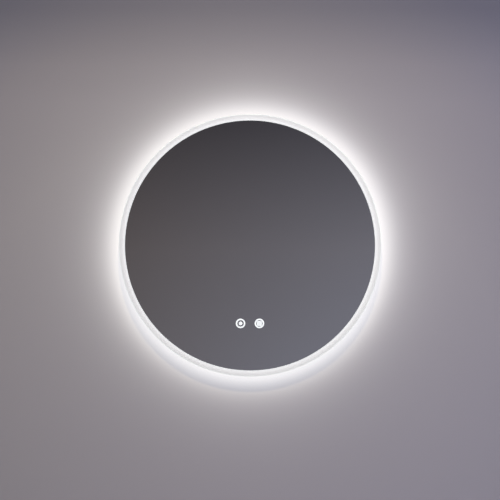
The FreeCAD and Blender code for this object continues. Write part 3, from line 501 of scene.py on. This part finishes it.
def addLathe(shape, centre, profile, steps=256, closed=True):
    # Turns (radius, depth) points round an axis along Y; a depth is a distance from the wall.
    rings = []
    for radius, depth in profile:
        if radius < 1e-7:
            rings.append([shape.verts.new((centre.x, -depth, centre.z))])
            continue
        ring = []
        for step in range(steps):
            angle = 2 * math.pi * step / steps
            ring.append(shape.verts.new((
                centre.x + radius * math.cos(angle), -depth, centre.z + radius * math.sin(angle),
            )))
        rings.append(ring)
    pairs = list(zip(rings, rings[1:]))
    if closed:
        pairs.append((rings[-1], rings[0]))
    for one, other in pairs:
        if len(one) == 1 and len(other) == 1:
            continue
        for step in range(steps):
            following = (step + 1) % steps
            corners = [one[step % len(one)], one[following % len(one)]]
            corners += [other[following % len(other)], other[step % len(other)]]
            unique = list(dict.fromkeys(corners))
            shape.faces.new(unique)


def rounded(corners, radius, steps=4):
    # Rounds each corner of a closed profile. A corner's third number is its own radius.
    straight = 1.55  # a half angle above this is no corner
    result = []
    count = len(corners)
    for index, corner in enumerate(corners):
        here = Vector(corner[:2])
        size = corner[2] if len(corner) > 2 else radius
        before = (Vector(corners[index - 1][:2]) - here).normalized()
        after = (Vector(corners[(index + 1) % count][:2]) - here).normalized()
        half = before.angle(after) / 2
        if half > straight:
            result.append(tuple(here))
            continue
        reach = size / math.tan(half)
        middle = here + (before + after).normalized() * size / math.sin(half)
        start = here + before * reach - middle
        sweep = (here + after * reach - middle).angle(start)
        way = 1 if start.x * (here.y - middle.y) - start.y * (here.x - middle.x) > 0 else -1
        for step in range(steps + 1):
            turned = Matrix.Rotation(way * sweep * step / steps, 2) @ start
            result.append(tuple(middle + turned))
    return result


def softened(label, finish, width, segments=2, angle=25):
    # The CAD solid itself, welded, with its triangles joined to whole faces and its edges eased.
    name = label + "_soft"
    shape = bmesh.new()
    shape.from_mesh(cadNodes[label].data)
    bmesh.ops.remove_doubles(shape, verts=shape.verts, dist=weldDistance)
    bmesh.ops.dissolve_limit(
        shape, angle_limit=math.radians(1), verts=shape.verts, edges=shape.edges,
    )
    sharp = [
        edge for edge in shape.edges
        if len(edge.link_faces) == 2 and edge.calc_face_angle() > math.radians(angle)
    ]
    bmesh.ops.bevel(
        shape, geom=sharp, offset=width, segments=segments, affect="EDGES", profile=0.5,
        clamp_overlap=True,
    )
    piece = finishObject(name, meshFrom(shape, name), finish)
    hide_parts(label)
    return piece


def rides(piece, body="mirror"):
    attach(piece, body)
    return piece


# The pane and its silvering.
paneValues = {
    "arris": 0.0007, "arrisBulge": 0.3, "support": 0.0004, "backGap": 0.00004, "frostGap": 0.00005,
    "frostThick": 0.00015, "frostIn": 0.0008, "frostEdge": 0.0002,
}


def makePane(values):
    front, back = -paneLow.y, -paneHigh.y + values["backGap"]
    shape = bmesh.new()
    arris = values["arris"]
    bulge = arris * values["arrisBulge"]
    flat = paneRadius - arris - values["support"]
    addLathe(shape, mirrorAxis, [
        (0, back), (flat, back), (paneRadius - arris, back),
        (paneRadius - bulge, back + bulge), (paneRadius, back + arris),
        (paneRadius, front - arris), (paneRadius - bulge, front - bulge),
        (paneRadius - arris, front), (flat, front), (0, front),
    ], closed=False)
    pane = finishObject("pane", meshFrom(shape, "pane"), "glass")
    pane.data.materials.append(finishes["rim"])
    for face in pane.data.polygons:
        reach = (face.center - mirrorAxis) * Vector((1, 0, 1))
        face.material_index = 1 if reach.length > flat + values["support"] else 0
    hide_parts("mirror_glass")
    rides(pane)

    # The sandblasted band lies just behind the glass, beyond the silvering.
    shape = bmesh.new()
    top = -paneHigh.y - values["frostGap"]
    bottom = top - values["frostThick"]
    inner, outer = coatRadius + values["frostIn"], paneRadius - values["frostEdge"]
    addLathe(shape, mirrorAxis, [(inner, top), (outer, top), (outer, bottom), (inner, bottom)])
    frost = finishObject("frosted_back", meshFrom(shape, "frosted_back"), "frost")
    rides(frost)


makePane(paneValues)
cadNodes["silver_coat"].data.materials.clear()
cadNodes["silver_coat"].data.materials.append(finishes["silver"])
print("pane and silvering made")


# The two key signs: silvering left standing inside the clear windows.
signValues = {
    "across": 0.0216, "below": 0.1785, "window": 0.0113, "ringOutside": 0.0109,
    "ringInside": 0.0075, "dot": 0.0042, "square": 0.0114, "squareRound": 0.0022,
    "squareLimit": 0.93, "stroke": 0.0003, "waves": 3, "wavePitch": 0.0028, "waveSwing": 0.0007,
    "waveTall": 0.62, "waveSteps": 16, "slitWide": 0.0005, "slitTall": 0.0026, "steps": 96,
}


def squareReach(angle, half, corner):
    # Distance from the middle of a rounded square to its edge, at an angle.
    power = 2 + 4 * (1 - corner / half)
    return half / (abs(math.cos(angle)) ** power + abs(math.sin(angle)) ** power) ** (1 / power)


def makeSigns(values):
    front, back = -coatLow.y, -coatHigh.y
    steps = values["steps"]
    shape = bmesh.new()

    def island(centre, outer, inner):
        # A flat ring between two outlines, each given as reach against angle.
        loops = []
        for reach, depth in ((outer, front), (outer, back), (inner, back), (inner, front)):
            loop = []
            for step in range(steps):
                angle = 2 * math.pi * step / steps
                loop.append(shape.verts.new((
                    centre.x + reach(angle) * math.cos(angle), -depth,
                    centre.z + reach(angle) * math.sin(angle),
                )))
            loops.append(loop)
        for one, other in zip(loops, loops[1:] + loops[:1]):
            for step in range(steps):
                following = (step + 1) % steps
                shape.faces.new((one[step], one[following], other[following], other[step]))

    def strip(centres, width):
        # A flat stroke along a line of points.
        half = width / 2
        sections = []
        for index, (x, z) in enumerate(centres):
            before = centres[max(index - 1, 0)]
            after = centres[min(index + 1, len(centres) - 1)]
            along = Vector((after[0] - before[0], after[1] - before[1])).normalized()
            side = Vector((-along.y, along.x)) * half
            sections.append([
                shape.verts.new((x + sign * side.x, -depth, z + sign * side.y))
                for sign, depth in ((1, front), (-1, front), (-1, back), (1, back))
            ])
        for one, other in zip(sections, sections[1:]):
            for corner in range(4):
                following = (corner + 1) % 4
                shape.faces.new((one[corner], one[following], other[following], other[corner]))
        shape.faces.new(sections[0])
        shape.faces.new(sections[-1][::-1])

    level = mirrorAxis.z - values["below"]
    lampKey = Vector((-values["across"], 0, level))
    mistKey = Vector((values["across"], 0, level))
    ring = values["ringInside"]
    for key in (lampKey, mistKey):
        island(key, lambda angle: values["window"], lambda angle: values["ringOutside"])
    island(lampKey, lambda angle: ring, lambda angle: values["dot"])
    tall = values["slitTall"] / 2
    strip([(lampKey.x, lampKey.z - tall), (lampKey.x, lampKey.z + tall)], values["slitWide"])
    half = values["square"] / 2
    island(
        mistKey, lambda angle: ring,
        lambda angle: min(
            ring * values["squareLimit"], squareReach(angle, half, values["squareRound"]),
        ),
    )
    for wave in range(values["waves"]):
        middle = mistKey.x + (wave - (values["waves"] - 1) / 2) * values["wavePitch"]
        points = []
        for step in range(values["waveSteps"] + 1):
            share = step / values["waveSteps"]
            points.append((
                middle + values["waveSwing"] * math.sin(2 * math.pi * share),
                mistKey.z + (share - 0.5) * values["square"] * values["waveTall"],
            ))
        strip(points, values["stroke"])
    signs = finishObject("key_signs", meshFrom(shape, "key_signs"), "silver")
    rides(signs)


makeSigns(signValues)
print("key signs made")


# The opal ring.
ringValues = {
    "wall": 0.0025, "lip": 0.0018, "lipGap": 0.0006, "frontGap": 0.0004, "edge": 0.0006,
    "frontEdge": 0.0003, "innerFillet": 0.001, "steps": 320,
}


def makeOpalRing(values):
    back, front = -opalHigh.y, -opalLow.y - values["frontGap"]
    inside = opalRadius - values["wall"]
    lip = coatRadius + values["lipGap"]
    frontEdge = values["frontEdge"]
    corners = [
        (inside, back), (opalRadius, back), (opalRadius, front, frontEdge),
        (lip, front, frontEdge), (lip, front - values["lip"]),
        (inside, front - values["lip"], values["innerFillet"]),
    ]
    shape = bmesh.new()
    addLathe(shape, mirrorAxis, rounded(corners, values["edge"], 3), values["steps"])
    ring = finishObject("opal_ring", meshFrom(shape, "opal_ring"), "opal")
    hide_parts("opal_diffuser")
    rides(ring)


makeOpalRing(ringValues)
print("opal ring made")


# Sheet steel: the pan and the two rails.
sheetValues = {
    "panEdge": 0.0003, "railEdge": 0.0007, "panSheet": 0.001, "railSheet": 0.002,
    "weldColumns": 6, "weldRows": 2, "weldInset": 0.007, "weldPitch": 0.013,
    "weldRadius": 0.0032, "weldRise": 0.0002, "weldDip": 0.3, "weldFoot": 0.0001,
}


def makeSheetParts(values):
    rides(softened("back_pan", "pan", values["panEdge"]))
    rides(softened("wall_rail", "rail", values["railEdge"], 3), "wall_mount")
    rides(softened("hanger_rail", "rail", values["railEdge"], 3))
    # Spot welds show as shallow rings on the wall side of the hanger's flange.
    low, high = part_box("hanger_rail")
    face = -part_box("back_pan")[0].y - values["panSheet"] - values["railSheet"]
    radius, rise, foot = values["weldRadius"], values["weldRise"], face + values["weldFoot"]
    dip = face - rise * values["weldDip"]
    pitch = (high.x - low.x) / values["weldColumns"]
    shape = bmesh.new()
    for column in range(values["weldColumns"]):
        for row in range(values["weldRows"]):
            centre = Vector((
                low.x + (column + 0.5) * pitch, 0,
                high.z - values["weldInset"] - row * values["weldPitch"],
            ))
            addLathe(shape, centre, [
                (0, dip), (radius * 0.6, dip), (radius * 0.8, face - rise), (radius, foot),
                (0, foot),
            ], 24, closed=False)
    welds = finishObject("weld_spots", meshFrom(shape, "weld_spots"), "weld")
    rides(welds)


makeSheetParts(sheetValues)
print("pan and rails made")


# Screws: hexagon heads with a chamfer and a washer face, over a rolled thread. Shares are of the
# head's height, the washer's radius or the shank's length.
screwValues = {
    "washer": 1.18, "washerRim": 0.14, "washerTop": 0.24, "washerSlope": 0.93, "skirt": 0.22,
    "chamfer": 0.16, "crown": 0.924, "cornerCut": 0.985, "headSteps": 48,
    "pitch": 0.0009, "threadDepth": 0.00022, "threadStart": 0.1, "threadShare": 0.8,
    "threadEnd": 0.93, "point": 0.5, "shankSteps": 24,
    "sets": {
        "pan_screws": {"name": "pan_screw_set", "flats": 0.0070, "shank": 0.0019, "head": 0.002},
        "lid_screws": {"name": "lid_screw_set", "flats": 0.0050, "shank": 0.0014, "head": 0.002},
        "clamp_screw": {"name": "clamp_screw_set", "flats": 0.0050, "shank": 0.0014, "head": 0.002},
    },
}


def hexHead(shape, centre, flats, seat, height, values):
    # Six sides under a turned chamfer; the seat's depth is the far face of the washer.
    reach = flats / math.sqrt(3)
    top = seat - height
    steps = values["headSteps"]
    sixth = math.pi / 3
    loops = []
    levels = (seat - height * values["skirt"], top + height * values["chamfer"], top)
    for depth in levels:
        loop = []
        for step in range(steps):
            angle = 2 * math.pi * step / steps
            side = (angle + sixth / 2) % sixth - sixth / 2
            size = min(flats / 2 / math.cos(side), reach * values["cornerCut"])
            if depth == top:
                size = flats / 2 * values["crown"]
            loop.append(shape.verts.new((
                centre.x + size * math.cos(angle), -depth, centre.z + size * math.sin(angle),
            )))
        loops.append(loop)
    for one, other in zip(loops, loops[1:]):
        for step in range(steps):
            following = (step + 1) % steps
            shape.faces.new((one[step], one[following], other[following], other[step]))
    shape.faces.new(loops[-1])
    flange = flats / 2 * values["washer"]
    under = seat - height * values["washerTop"]
    addLathe(shape, centre, [
        (0, seat), (flange, seat), (flange, seat - height * values["washerRim"]),
        (flange * values["washerSlope"], under), (0, under),
    ], steps, closed=False)


def threadedShank(shape, centre, radius, seat, reach, values):
    root = radius - values["threadDepth"]
    profile = [(0, seat), (radius, seat)]
    turns = int(reach * values["threadShare"] / values["pitch"])
    for turn in range(turns):
        depth = seat + reach * values["threadStart"] + turn * values["pitch"]
        profile.append((root, depth))
        profile.append((radius, depth + values["pitch"] / 2))
    profile.append((root, seat + reach * values["threadEnd"]))
    profile.append((radius * values["point"], seat + reach))
    profile.append((0, seat + reach))
    addLathe(shape, centre, profile, values["shankSteps"], closed=False)


def makeScrews(values):
    for label, screw in values["sets"].items():
        shape = bmesh.new()
        front, back = -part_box(label)[0].y, -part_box(label)[1].y
        seat = back + screw["head"]
        for centre in islandCentres(label):
            hexHead(shape, centre, screw["flats"], seat, screw["head"], values)
            threadedShank(shape, centre, screw["shank"], seat, front - seat, values)
        name = screw["name"]
        screws = finishObject(name, meshFrom(shape, name), "screw")
        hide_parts(label)
        rides(screws)


def islandCentres(label):
    # The middle of each separate solid of a CAD node, as seen from the front.
    shape = bmesh.new()
    shape.from_mesh(cadNodes[label].data)
    bmesh.ops.remove_doubles(shape, verts=shape.verts, dist=weldDistance)
    left = set(shape.verts)
    centres = []
    while left:
        group = [left.pop()]
        for vert in group:
            for edge in vert.link_edges:
                other = edge.other_vert(vert)
                if other in left:
                    left.remove(other)
                    group.append(other)
        xs = [vert.co.x for vert in group]
        zs = [vert.co.z for vert in group]
        centres.append(Vector(((min(xs) + max(xs)) / 2, 0, (min(zs) + max(zs)) / 2)))
    shape.free()
    return sorted(centres, key=lambda centre: (round(centre.x, 4), round(centre.z, 4)))


makeScrews(screwValues)
print("screws made")


# Rubber: bumpers that meet the wall, and the grommets.
rubberValues = {
    "bumperRound": 0.0022, "bore": 0.004, "neck": 0.0064, "lip": 0.0085, "backSlope": 0.0012,
    "frontSlope": 0.0006, "frontLip": 0.0035, "outerEdge": 0.0006, "neckEdge": 0.0002,
}


def makeRubber(values):
    rides(softened("wall_bumpers", "rubber", values["bumperRound"], 4))
    back = -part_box("grommets")[1].y
    lidLow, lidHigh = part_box("box_lid")
    lidFront, lidBack = -lidLow.y, -lidHigh.y
    centre = max(islandCentres("grommets"), key=lambda spot: spot.z)
    lip, neck, bore = values["lip"], values["neck"], values["bore"]
    outer, inner = values["outerEdge"], values["neckEdge"]
    front = lidFront + values["frontLip"]
    corners = [
        (bore, back), (lip - values["backSlope"], back), (lip, lidBack, inner),
        (neck, lidBack, inner), (neck, lidFront, inner), (lip, lidFront),
        (lip - values["frontSlope"], front), (bore, front),
    ]
    shape = bmesh.new()
    addLathe(shape, centre, rounded(corners, outer), 96)
    grommet = finishObject("cable_grommet", meshFrom(shape, "cable_grommet"), "rubber")
    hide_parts("grommets")
    rides(grommet)


makeRubber(rubberValues)
print("rubber parts made")


# Moulded boxes and the fittings inside, with the edge radius of each.
fittingValues = {
    "wiring_box": ("box", 0.0004, "moulded_grey"), "box_lid": ("box", 0.0005, "moulded_grey"),
    "cord_clamp": ("box", 0.0006, "moulded_grey"), "terminal_body": ("box", 0.0004, "moulded_grey"),
    "lead_clips": ("box", 0.0004, "moulded_grey"), "touch_housing": ("box", 0.0006, "moulded_grey"),
    "led_connector": ("box", 0.0005, "moulded_grey"),
    "demister_connector": ("box", 0.0006, "moulded_grey"),
    "driver_base": ("case", 0.0008, "driver_case"), "driver_lid": ("case", 0.0008, "driver_case"),
    "light_frame": ("aluminium", 0.0003, "rolled_aluminium"),
    "frame_joiner": ("aluminium", 0.0003, "rolled_aluminium"),
    "bond_tape": ("foam", 0.0002, "foam_tape"), "touch_gasket": ("foam", 0.0002, "foam_tape"),
    "touch_wells": ("foam", 0.0003, "foam_tape"), "driver_pads": ("foam", 0.0002, "foam_tape"),
    "led_strip_board": ("strip", 0.0001, "white_board"),
    "led_chips": ("chip", 0.0002, "lamp_chip"), "touch_leds": ("chip", 0.0003, "lamp_chip"),
    "driver_board": ("green", 0.0002, "circuit_board"),
    "touch_board": ("green", 0.0002, "circuit_board"),
    "driver_transformer": ("tape", 0.0010, "coil_tape"),
    "driver_capacitor": ("can", 0.0008, "can_sleeve"),
    "terminal_cages": ("brass", 0.0004, "brass"), "earth_tab": ("brass", 0.0002, "brass"),
    "earth_receptacle": ("brass", 0.0003, "brass"),
    "lead_mains": ("sheath", 0.0006, "lead_sheath"), "lead_lamps": ("sheath", 0.0006, "lead_sheath"),
    "lead_touch": ("sheath", 0.0006, "lead_sheath"),
    "lead_demister": ("sheath", 0.0006, "lead_sheath"),
    "lead_earth": ("earthSheath", 0.0006, "earth_sheath"),
}
filmValues = {
    "demister_film": ("film", "heating_film"), "demister_track": ("track", "heating_track"),
    "icon_diffusers": ("sign", "opal_plastic"),
}

for label, (finish, edge, slot) in fittingValues.items():
    rides(softened(label, finish, edge))
for label, (finish, slot) in filmValues.items():
    cadNodes[label].data.materials.clear()
    cadNodes[label].data.materials.append(finishes[finish])
print("fittings made: %d" % len(fittingValues))


# The stage: a wall that shows only from the front, a pale floor, and the lamps.
stageValues = {
    "wallHalf": 4.0, "floorBelow": 1.45, "gap": 0.0006, "nearWall": 0.06,
    # The wall's tones hold painted light and shade: lighter and bluer on the right, darker towards the
    # top and corners.
    "wallLeft": tone(152, 144, 148), "wallRight": tone(160, 153, 165), "tintReach": 0.57,
    "shadeMiddle": (-0.05, 0, -0.5), "shadeTo": 1.08, "topFrom": 0.19, "topTo": 0.41,
    "floorTone": tone(240, 236, 224), "floorLift": 0.26,
}


def stageObject(name, mesh, material):
    mesh.materials.append(material)
    obj = bpy.data.objects.new(name, mesh)
    bpy.context.scene.collection.objects.link(obj)
    return obj


def flatSheet(name, corners):
    mesh = bpy.data.meshes.new(name)
    mesh.from_pydata(corners, [], [(0, 1, 2, 3)])
    return mesh


def wallMaterial(values):
    # Plaster, with painted light and shade in its colour. Shadow rays, very short rays and rays from
    # behind it pass through.
    material, tree, shader = newMaterial("wallPlaster", {"Roughness": 0.85})
    place = addNode(tree, "ShaderNodeTexCoord")
    split = addNode(tree, "ShaderNodeSeparateXYZ")
    tree.links.new(place.outputs["Object"], split.inputs["Vector"])
    # Painted light: the wall is lighter and bluer towards the right.
    across = between(tree, split.outputs["X"], 0, 1, -values["tintReach"], values["tintReach"])
    # Painted shade: the wall is darker towards the ceiling and its corners.
    reach = addNode(
        tree, "ShaderNodeVectorMath", {1: values["shadeMiddle"]}, operation="DISTANCE",
    )
    tree.links.new(place.outputs["Object"], reach.inputs[0])
    spread = between(tree, reach.outputs["Value"], 0, 1, 0, values["shadeTo"])
    height = between(tree, split.outputs["Z"], 0, 1, values["topFrom"], values["topTo"])
    corner = addNode(tree, "ShaderNodeMix", {"Factor": 1}, data_type="RGBA", blend_type="MULTIPLY")
    shade = addNode(tree, "ShaderNodeMix", {"Factor": 1}, data_type="RGBA", blend_type="MULTIPLY")
    tree.links.new(
        colourRamp(tree, across, [(0.0, values["wallLeft"]), (1.0, values["wallRight"])]),
        shade.inputs["A"],
    )
    tree.links.new(
        colourRamp(tree, spread, [
            (0.0, (1, 1, 1, 1)), (0.45, (0.96, 0.96, 0.96, 1)), (0.6, (0.93, 0.93, 0.93, 1)),
            (0.82, (0.76, 0.76, 0.80, 1)), (1.0, (0.56, 0.58, 0.69, 1)),
        ]),
        corner.inputs["A"],
    )
    tree.links.new(
        colourRamp(tree, height, [
            (0.0, (1, 1, 1, 1)), (0.4, (0.93, 0.93, 0.93, 1)), (1.0, (0.64, 0.65, 0.68, 1)),
        ]),
        corner.inputs["B"],
    )
    tree.links.new(corner.outputs["Result"], shade.inputs["B"])
    tree.links.new(shade.outputs["Result"], shader.inputs["Base Color"])
    addBump(tree, shader, cloud(tree, 0.004), 0.1, 0.0002)
    path = addNode(tree, "ShaderNodeLightPath")
    side = addNode(tree, "ShaderNodeNewGeometry")
    near = addNode(tree, "ShaderNodeMath", {1: values["nearWall"]}, operation="LESS_THAN")
    either = addNode(tree, "ShaderNodeMath", operation="MAXIMUM")
    passes = addNode(tree, "ShaderNodeMath", operation="MAXIMUM")
    clear = addNode(tree, "ShaderNodeBsdfTransparent")
    mix = addNode(tree, "ShaderNodeMixShader")
    tree.links.new(path.outputs["Ray Length"], near.inputs[0])
    tree.links.new(near.outputs[0], either.inputs[0])
    tree.links.new(side.outputs["Backfacing"], either.inputs[1])
    tree.links.new(either.outputs[0], passes.inputs[0])
    tree.links.new(path.outputs["Is Shadow Ray"], passes.inputs[1])
    tree.links.new(passes.outputs[0], mix.inputs["Fac"])
    tree.links.new(shader.outputs["BSDF"], mix.inputs[1])
    tree.links.new(clear.outputs["BSDF"], mix.inputs[2])
    tree.links.new(mix.outputs["Shader"], tree.nodes["Material Output"].inputs["Surface"])
    return material


def floorMaterial(values):
    material, tree, shader = newMaterial("paleFloor", {"Roughness": 0.6})
    red, green, blue, _ = values["floorTone"]
    tree.links.new(
        colourRamp(tree, cloud(tree, 0.3), [
            (0.3, (red * 0.98, green * 0.98, blue * 0.98, 1)), (0.7, (red, green, blue, 1)),
        ]),
        shader.inputs["Base Color"],
    )
    # Lifted a little where it is seen, so that it stays pale away from the lamps.
    path = addNode(tree, "ShaderNodeLightPath")
    seen = between(tree, path.outputs["Is Camera Ray"], 0, values["floorLift"], 0, 1)
    tree.links.new(seen, shader.inputs["Emission Strength"])
    shader.inputs["Emission Color"].default_value = (1, 0.98, 0.96, 1)
    return material


def makeStage(values):
    half, gap = values["wallHalf"], values["gap"]
    floor = mirrorAxis.z - values["floorBelow"]
    stageObject("wall", flatSheet("wall", [
        (-half, gap, floor), (half, gap, floor), (half, gap, half), (-half, gap, half),
    ]), wallMaterial(values))
    stageObject("floor", flatSheet("floor", [
        (-half, -half, floor), (half, -half, floor), (half, half, floor), (-half, half, floor),
    ]), floorMaterial(values))


# The light that the opal ring throws on the wall: a sheet that only the camera sees, which adds
# to the wall behind it and fades with the distance from the mirror's edge.
glowValues = {
    "peak": 0.65, "reach": 0.035, "fade": 1.95, "low": 1.16, "high": 0.95, "inside": 0.284,
    "outside": 1.3, "above": 0.0004, "tint": (1.0, 1.0, 0.975, 1), "steps": 96,
}


def makeGlow(values):
    material = bpy.data.materials.new("wallGlow")
    material.use_nodes = True
    tree = material.node_tree
    tree.nodes.clear()
    # Strength is peak / (1 + (distance / reach) ** fade), a little more below the mirror than
    # above it. Nothing shows under the mirror or from behind the wall.
    distance = axisDistance(tree)
    away = addNode(tree, "ShaderNodeMapRange", {
        "From Min": paneRadius, "From Max": paneRadius + values["reach"],
    }, clamp=False)
    outside = addNode(tree, "ShaderNodeMath", {1: 0}, operation="MAXIMUM")
    fall = addNode(tree, "ShaderNodeMath", {1: values["fade"]}, operation="POWER")
    below = addNode(tree, "ShaderNodeMath", {1: 1}, operation="ADD")
    level = addNode(tree, "ShaderNodeMath", {0: values["peak"]}, operation="DIVIDE")
    tree.links.new(distance, away.inputs["Value"])
    for one, other in ((away, outside), (outside, fall), (fall, below)):
        tree.links.new(one.outputs[0], other.inputs[0])
    tree.links.new(below.outputs[0], level.inputs[1])
    place = addNode(tree, "ShaderNodeTexCoord")
    split = addNode(tree, "ShaderNodeSeparateXYZ")
    side = addNode(tree, "ShaderNodeNewGeometry")
    tree.links.new(place.outputs["Object"], split.inputs["Vector"])
    strength = level.outputs[0]
    for share in (
        between(tree, split.outputs["Z"], values["low"], values["high"],
                mirrorAxis.z - paneRadius, mirrorAxis.z + paneRadius),
        between(tree, distance, 0, 1, values["inside"], opalRadius),
        between(tree, side.outputs["Backfacing"], 1, 0, 0, 1),
    ):
        product = addNode(tree, "ShaderNodeMath", operation="MULTIPLY")
        tree.links.new(strength, product.inputs[0])
        tree.links.new(share, product.inputs[1])
        strength = product.outputs[0]
    light = addNode(tree, "ShaderNodeEmission", {"Color": values["tint"]})
    clear = addNode(tree, "ShaderNodeBsdfTransparent")
    both = addNode(tree, "ShaderNodeAddShader")
    output = addNode(tree, "ShaderNodeOutputMaterial")
    tree.links.new(strength, light.inputs["Strength"])
    tree.links.new(light.outputs["Emission"], both.inputs[0])
    tree.links.new(clear.outputs["BSDF"], both.inputs[1])
    tree.links.new(both.outputs["Shader"], output.inputs["Surface"])
    shape = bmesh.new()
    depth = values["above"] - stageValues["gap"]
    rings = [(values["outside"], depth), (values["inside"], depth)]
    addLathe(shape, mirrorAxis, rings, values["steps"], closed=False)
    mesh = bpy.data.meshes.new("wall_glow")
    shape.to_mesh(mesh)
    shape.free()
    glow = stageObject("wall_glow", mesh, material)
    glow.visible_diffuse = False
    glow.visible_glossy = False
    glow.visible_transmission = False
    glow.visible_shadow = False


lampValues = {
    "ceiling": {"place": (0, -1.9, 1.41), "size": 0.22, "power": 36, "colour": (1, 0.91, 0.54)},
    "rearKey": {"place": (1.7, 1.3, 1.1), "size": 0.7, "power": 30, "colour": (1, 0.99, 0.97)},
    "rearSoft": {"place": (-1.6, 1.9, 0.3), "size": 1.4, "power": 9, "colour": (0.97, 0.98, 1)},
}


def makeLamps(values):
    for name, lamp in values.items():
        data = bpy.data.lights.new(name, "AREA")
        data.shape = "DISK"
        data.size = lamp["size"]
        data.energy = lamp["power"]
        data.color = lamp["colour"]
        obj = bpy.data.objects.new(name, data)
        obj.location = lamp["place"]
        aim = mirrorAxis - obj.location
        obj.rotation_euler = aim.to_track_quat("-Z", "Y").to_euler()
        obj.visible_glossy = False
        obj.visible_transmission = False
        bpy.context.scene.collection.objects.link(obj)


# The room's soft light. The pane reflects a dim room in front of it, darker towards the top left.
roomValues = {
    "seen": tone(238, 238, 237), "fill": (0.37, 0.44, 0.65, 1), "rearFill": (0.52, 0.515, 0.50, 1),
    "dark": tone(64, 60, 65), "dim": tone(104, 98, 104), "light": tone(114, 110, 119),
    "warmSide": (0.78, 0.74, 0.68, 1), "coolSide": (1.23, 1.29, 1.35, 1), "spread": 0.11,
}


def makeRoom(values):
    world = bpy.data.worlds.new("room")
    bpy.context.scene.world = world
    world.use_nodes = True
    tree = world.node_tree
    tree.nodes.clear()
    place = addNode(tree, "ShaderNodeTexCoord")
    split = addNode(tree, "ShaderNodeSeparateXYZ")
    tree.links.new(place.outputs["Generated"], split.inputs["Vector"])
    # Dark towards the ceiling, lighter and cooler towards the right.
    height = between(tree, split.outputs["Z"], 0, 1, values["spread"], -values["spread"])
    across = between(tree, split.outputs["X"], 0, 1, -values["spread"], values["spread"])
    dimRoom = addNode(tree, "ShaderNodeMix", {"Factor": 1}, data_type="RGBA", blend_type="MULTIPLY")
    tree.links.new(
        colourRamp(tree, height, [
            (0.0, values["dark"]), (0.5, values["dim"]), (1.0, values["light"]),
        ]),
        dimRoom.inputs["A"],
    )
    tree.links.new(
        colourRamp(tree, across, [(0.0, values["warmSide"]), (1.0, values["coolSide"])]),
        dimRoom.inputs["B"],
    )
    ahead = addNode(tree, "ShaderNodeMath", {1: -0.5}, operation="LESS_THAN")
    tree.links.new(split.outputs["Y"], ahead.inputs[0])
    behind = addNode(tree, "ShaderNodeMix", data_type="RGBA")
    behind.inputs["A"].default_value = values["seen"]
    tree.links.new(ahead.outputs[0], behind.inputs["Factor"])
    tree.links.new(dimRoom.outputs["Result"], behind.inputs["B"])
    path = addNode(tree, "ShaderNodeLightPath")
    mirrored = addNode(tree, "ShaderNodeMix", data_type="RGBA")
    depth = between(tree, split.outputs["Y"], 0, 1, -0.1, 0.1)
    tree.links.new(
        colourRamp(tree, depth, [(0.0, values["fill"]), (1.0, values["rearFill"])]),
        mirrored.inputs["A"],
    )
    either = addNode(tree, "ShaderNodeMath", operation="MAXIMUM")
    tree.links.new(path.outputs["Is Glossy Ray"], either.inputs[0])
    tree.links.new(path.outputs["Is Transmission Ray"], either.inputs[1])
    tree.links.new(either.outputs[0], mirrored.inputs["Factor"])
    tree.links.new(behind.outputs["Result"], mirrored.inputs["B"])
    seen = addNode(tree, "ShaderNodeMix", data_type="RGBA")
    seen.inputs["B"].default_value = values["seen"]
    tree.links.new(path.outputs["Is Camera Ray"], seen.inputs["Factor"])
    tree.links.new(mirrored.outputs["Result"], seen.inputs["A"])
    light = addNode(tree, "ShaderNodeBackground")
    output = addNode(tree, "ShaderNodeOutputWorld")
    tree.links.new(seen.outputs["Result"], light.inputs["Color"])
    tree.links.new(light.outputs["Background"], output.inputs["Surface"])


makeStage(stageValues)
makeGlow(glowValues)
makeLamps(lampValues)
makeRoom(roomValues)
print("stage and lamps made")
